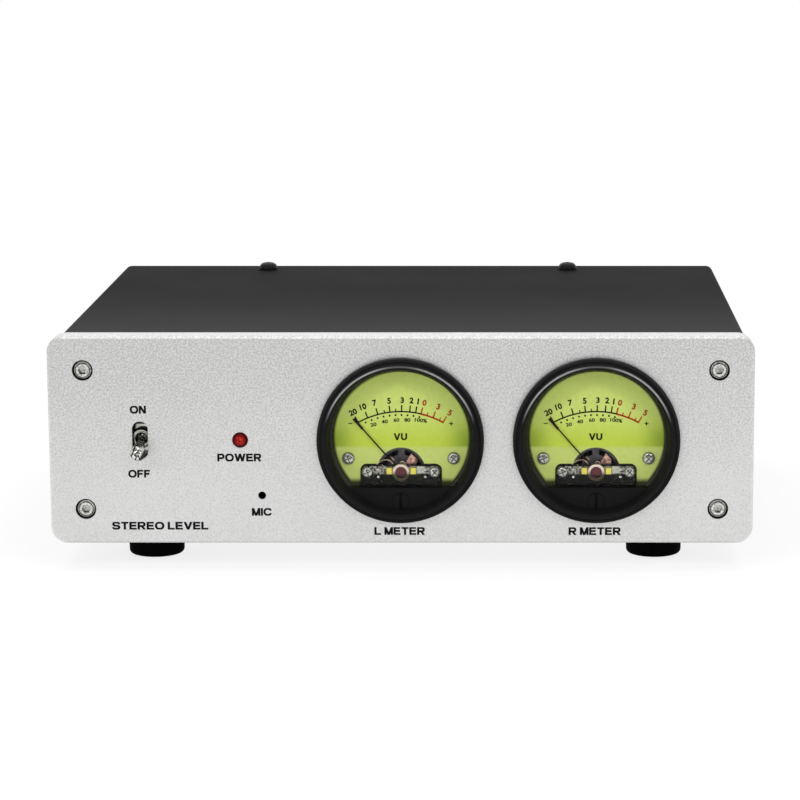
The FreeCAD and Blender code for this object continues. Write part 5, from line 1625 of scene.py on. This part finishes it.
@dataclass
class MovementTrim:
    """The small parts in front of the bridge, in millimetres from the meter's middle.

    A dome is given by its steps: for each ring, how far it comes forward and its radius. The dome of a
    screw's head has them as shares of its rise and radius. The screws' slots turn by degrees.
    """

    pivot: float = -10.4
    core_depth: float = 2.49
    core: float = 1.68
    core_dome: tuple[Span, ...] = ((0.2, 1.68), (0.12, 1.5), (0.1, 1.2), (0.06, 0.8), (0.03, 0.35))
    insulators: tuple[Span, ...] = ((-3.55, 1.6), (3.75, 1.7))
    insulator_depth: float = 2.6
    insulator_height: float = -10.0
    insulator_size: Span = (0.8, 1.9)
    field_inset: float = 0.28
    field_rise: float = 0.22
    pins: tuple[Span, ...] = ((-7.1, -9.6), (-6.9, -11.9), (7.4, -9.6), (7.4, -11.9))
    pin_depth: float = 3.05
    pin: float = 0.5
    pin_dome: tuple[Span, ...] = ((0.3, 0.5), (0.12, 0.4), (0.06, 0.22))
    head_dome: tuple[Span, ...] = ((0.4, 1.0), (0.27, 0.9), (0.21, 0.68), (0.12, 0.35))
    shank: float = 0.8
    shank_dome: tuple[Span, ...] = ((-5.4, 0.8), (-0.6, 0.48))
    slot_turns: Span = (20.0, 48.0)
    slot_width: float = 0.3
    wire: float = 0.11
    routes: tuple[tuple[Triple, ...], ...] = (
        ((-7.3, 2.75, -8.0), (-6.4, 2.6, -6.9), (-4.7, 2.5, -6.3), (-3.2, 2.6, -6.6), (-2.4, 2.7, -7.8)),
        ((-5.8, 2.7, -8.0), (-5.2, 2.5, -8.5), (-4.6, 2.6, -9.2)),
        ((-3.1, 2.75, -5.5), (-2.6, 2.6, -5.9), (-2.1, 2.6, -6.6)),
        ((-0.2, 2.6, -7.5), (0.2, 2.4, -6.7), (0.8, 2.5, -6.9), (1.2, 2.6, -7.6)),
    )

    def build_core(self, origin: Vector) -> Piece:
        """Model the domed core inside the jewel ring."""
        core = Bench.dome(beside(origin, 0.0, self.core_depth, self.pivot), self.core, self.core_dome)
        Bench.smooth(core, angle=60.0)
        return core

    def build_insulators(self, origin: Vector) -> Piece:
        """Model the two insulators beside the jewel ring, each with a raised field."""
        blocks = []
        for x, width in self.insulators:
            block = Bench.block(beside(origin, x, self.insulator_depth, self.insulator_height),
                                (width, *self.insulator_size))
            Bench.edit(block)
            Bench.pick(block, lambda centre, normal: normal.y < -0.9)
            bpy.ops.mesh.inset(thickness=self.field_inset * MM)
            Bench.draw_out(self.field_rise)
            Bench.clear()
            Bench.soften(block)
            blocks.append(block)
        return Bench.join_smooth(blocks, angle=40.0)

    def build_pins(self, origin: Vector) -> Piece:
        """Model the rivets of the bridge, each with a rounded head."""
        pins = [Bench.dome(beside(origin, x, self.pin_depth, height), self.pin, self.pin_dome, corners=20)
                for x, height in self.pins]
        return Bench.join_smooth(pins, angle=60.0)

    def build_screws(self, origin: Vector, pair: ScrewPair) -> Piece:
        """Model a pair of small domed screws with a cross recess.

        Args:
            origin: The meter's middle on the panel's face, in metres.
            pair: The screws' sizes and places.

        Returns:
            Both screws.
        """
        screws = []
        steps = [(forward * pair.rise, share * pair.radius) for forward, share in self.head_dome]
        for x, degrees in zip((-pair.spread, pair.spread), self.slot_turns):
            centre = beside(origin, x, pair.seat, pair.height)
            head = Bench.dome(centre, pair.radius, steps, corners=32)
            for turn in (math.radians(degrees), math.radians(degrees) + math.pi / 2):
                blade = Bench.block(beside(centre, 0.0, -pair.rise, 0.0),
                                    (1.3 * pair.radius, 1.1 * pair.rise, self.slot_width))
                Bench.edit(blade)
                bpy.ops.transform.rotate(value=turn, orient_axis="Y", center_override=centre)
                Bench.clear()
                Bench.apply(head, "BOOLEAN", operation="DIFFERENCE", object=blade, solver="EXACT")
                Bench.discard([blade])
            shank = Bench.dome(centre, self.shank, self.shank_dome, corners=20)
            screws.append(Bench.join([head, shank]))
        return Bench.join_smooth(screws, angle=38.0)

    def build_leads(self, origin: Vector) -> Piece:
        """Bend the bare lead wires over the bridge's left end and inside the half-moon."""
        wires = [Bench.wire([beside(origin, *point) for point in route], self.wire) for route in self.routes]
        return Bench.join_smooth(wires, angle=60.0)


@dataclass
class Meters:
    """Both meters: their own pieces, dials and movements."""

    sides: dict[str, float] = field(default_factory=lambda: {"left": -0.3, "right": 58.9})
    dial_depth: float = 3.995
    dial_screws: ScrewPair = ScrewPair(16.0, -6.3, 4.0, 1.9, 1.2)
    bridge_screws: ScrewPair = ScrewPair(10.2, -10.4, 3.0, 1.6, 0.9)

    def build(self) -> None:
        """Model each added piece in the left meter and copy it to the right one."""
        left, right = self.sides.values()
        face = panel_point(left, self.dial_depth, METER_HEIGHT)
        middle = panel_point(left, 0.0, METER_HEIGHT)
        black, red = DialPrint().build(face)
        trim = MovementTrim()
        pieces = (
            ("scale_black", black, DIAL_INK_BLACK, Slot.DIAL_BLACK),
            ("scale_red", red, DIAL_INK_RED, Slot.DIAL_RED),
            ("insulators", trim.build_insulators(middle), INSULATOR_YELLOW, Slot.INSULATOR_YELLOW),
            ("bridge_pins", trim.build_pins(middle), PIN_NICKEL, Slot.BRIDGE_NICKEL),
            ("lead_wires", trim.build_leads(middle), HAIRSPRING_BRONZE, Slot.HAIRSPRING),
            ("jewel_core", trim.build_core(middle), None, Slot.JEWEL_CORE),
            ("dial_screw_pair", trim.build_screws(middle, self.dial_screws), DIAL_SCREW_STEEL,
             Slot.SCREW_STEEL),
            ("bridge_screw_pair", trim.build_screws(middle, self.bridge_screws), BRIDGE_SCREW_STEEL,
             Slot.SCREW_STEEL),
        )
        shift = Vector((right - left, 0.0, 0.0)) * MM
        for name, piece, finish, slot in pieces:
            twin = Bench.copy(piece, shift)
            for (side, x), item in zip(self.sides.items(), (piece, twin)):
                hand_over(item, f"{side}_{name}", finish or self._core_finish(side, x, trim))
                if name.endswith("screw_pair"):
                    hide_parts(name.replace("_pair", "s"))

    def _core_finish(self, side: str, x: float, trim: MovementTrim) -> Finish:
        """Give a jewel core's finish, whose lines run out from that core's middle."""
        centre = panel_point(x, 0.0, METER_HEIGHT + trim.pivot)
        return RibbedCore(f"{side} jewel core lacquer", (0.11, 0.03, 0.035), centre)

    def dress(self) -> None:
        """Finish the pieces of both meters."""
        for side, x in self.sides.items():
            middle = panel_point(x, 0.0, METER_HEIGHT)
            pivot = panel_point(x, 0.0, METER_HEIGHT + MovementTrim.pivot)
            dial = DialPaint(f"{side} dial green", (0.52, 0.63, 0.07), middle)
            bridge = PaintedShadeNickel(f"{side} painted shade nickel", (0.78, 0.77, 0.7), middle)
            ring = ShadedNickel(f"{side} jewel nickel", (0.9, 0.74, 0.66), pivot)
            bezel = BezelLacquer(f"{side} bezel lacquer", (0.0065, 0.0065, 0.007), middle)
            for name, finish in (
                    ("bezel", bezel), ("zero_adjuster", bezel), ("window", WINDOW_CLEAR),
                    ("case", CASE_BLACK), ("dial_plate", dial), ("magnet_yoke", MAGNET_STEEL),
                    ("bridge", bridge), ("jewel_ring", ring), ("pointer", POINTER_BLACK),
                    ("coil", COIL_COPPER), ("hairspring", HAIRSPRING_BRONZE), ("zero_arm", ARM_COPPER)):
                dress(finish, f"{side}_{name}")
        dress(DIAL_SCREW_STEEL, "dial_screws")
        dress(BRIDGE_SCREW_STEEL, "bridge_screws")
        dress(SOCKET_NICKEL, "meter_terminals")
        dress(CASE_BLACK, "meter_lock_rings")
        dress(LAMP_CLEAR, "meter_lamps")


@dataclass
class Lamp:
    """A soft lamp of the studio: its place and aim, its size in metres, its power and its roll."""

    name: str
    place: Triple
    aim: Triple
    size: Span
    watts: float
    roll: float = 0.0


@dataclass
class Studio:
    """The pale floor, the soft light and the camera.

    Lengths are in metres, but for the radii floor_fade, over which the floor turns white, and the lens,
    which are in millimetres. The tilt is in degrees.
    """

    floor_size: float = 8.0
    floor_drop: float = 0.0002
    floor_fade: Span = (130.0, 500.0)
    floor_glow: float = 0.3
    even_light: float = 0.48
    camera_place: Triple = (0.03436, -0.951287, 0.20952)
    camera_tilt: float = 79.7115
    lens: float = 131.3
    shift: float = -0.144
    lamps: tuple[Lamp, ...] = (
        Lamp("top softbox", (0.0, 0.05, 1.2), (0.0, 0.0, 0.05), (1.2, 1.2), 6.2),
        Lamp("rear softbox", (0.0, 1.2, 0.75), (0.0, 0.0, 0.05), (1.6, 0.5), 0.9),
        Lamp("left strip", (-0.72, -1.1, 0.75), (0.0, -0.05, 0.04), (1.3, 0.09), 4.8, 45.0),
        Lamp("right strip", (0.76, -1.05, 0.72), (0.0, -0.05, 0.04), (1.3, 0.09), 4.4, -45.0),
    )

    def build(self) -> None:
        """Lay the floor, hang the lamps, set the world and place the camera."""
        self._lay_floor()
        for lamp in self.lamps:
            self._hang(lamp)
        self._set_world()
        self._place_camera()
        bpy.context.scene.view_settings.view_transform = "Standard"
        LOG.info("studio: floor, %d lamps and camera", len(self.lamps))

    def _lay_floor(self) -> None:
        """Lay a wide floor that fades to plain white away from the object."""
        Bench.clear()
        bpy.ops.mesh.primitive_plane_add(size=self.floor_size, location=(0.0, 0.0, -self.floor_drop))
        floor = Bench.fresh()
        floor.name = "studio_floor"
        material = bpy.data.materials.new("studio floor")
        graph = Graph(material)
        seen = graph.seen_rays()
        place, across, along, _ = graph.around(Vector())
        reach = graph.distance(across, along)
        tone = graph.mix(graph.noise(place, 60.0), (0.84, 0.84, 0.84), (0.86, 0.86, 0.86))
        matt = graph.value("ShaderNodeBsdfDiffuse", {"Color": tone})
        near = graph.value("ShaderNodeAddShader", {0: matt, 1: graph.glow(seen * self.floor_glow)})
        plain = reach.rise(*self.floor_fade) * 0.28 + 0.72
        graph.close(graph.blend(seen * plain, near, graph.glow(1.0)))
        floor.data.materials.append(material)

    def _hang(self, lamp: Lamp) -> None:
        """Hang one softbox and turn it to what it faces."""
        Bench.clear()
        bpy.ops.object.light_add(type="AREA", location=lamp.place)
        light = bpy.context.object
        light.name = lamp.name
        light.data.shape = "RECTANGLE"
        light.data.size, light.data.size_y = lamp.size
        light.data.energy = lamp.watts
        aim = Vector(lamp.aim) - Vector(lamp.place)
        turn = Quaternion((0.0, 0.0, 1.0), math.radians(lamp.roll))
        light.rotation_euler = (aim.to_track_quat("-Z", "Y") @ turn).to_euler()

    def _set_world(self) -> None:
        """Light the surroundings evenly, white behind the object and darker on the viewer's side."""
        world = bpy.context.scene.world or bpy.data.worlds.new("studio")
        bpy.context.scene.world = world
        graph = Graph(world)
        _, back, _ = graph.parts(graph.value("ShaderNodeTexCoord", None, "Generated"))
        eye, mirror, clear = graph.rays()
        mirrored = back.rise(-0.3, 0.1) * 0.85 + 0.15
        strength = graph.math("MAXIMUM", eye + clear, mirror * mirrored)
        plain = (1.0 - graph.seen_rays()) * self.even_light
        graph.close(graph.value("ShaderNodeBackground",
                                {"Color": (1.0, 1.0, 1.0), "Strength": strength + plain}))

    def _place_camera(self) -> None:
        """Place the camera in front of the object, a little above it."""
        Bench.clear()
        bpy.ops.object.camera_add(location=self.camera_place,
                                  rotation=(math.radians(self.camera_tilt), 0.0, 0.0))
        camera = bpy.context.object
        camera.data.lens = self.lens
        camera.data.sensor_width = 36.0
        camera.data.shift_x = self.shift
        camera.data.clip_start = 0.01
        bpy.context.scene.camera = camera


def main() -> None:
    """Build and dress the level meter in its studio."""
    logging.basicConfig(level=logging.INFO, format="%(message)s")
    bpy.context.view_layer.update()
    for assembly in (Enclosure(), PowerControls(), Electronics(), RearFittings(), Meters()):
        assembly.dress()
    for assembly in (PanelPrint(), RearFittings(), Meters()):
        assembly.build()
    Studio().build()


if __name__ == "__main__":
    main()
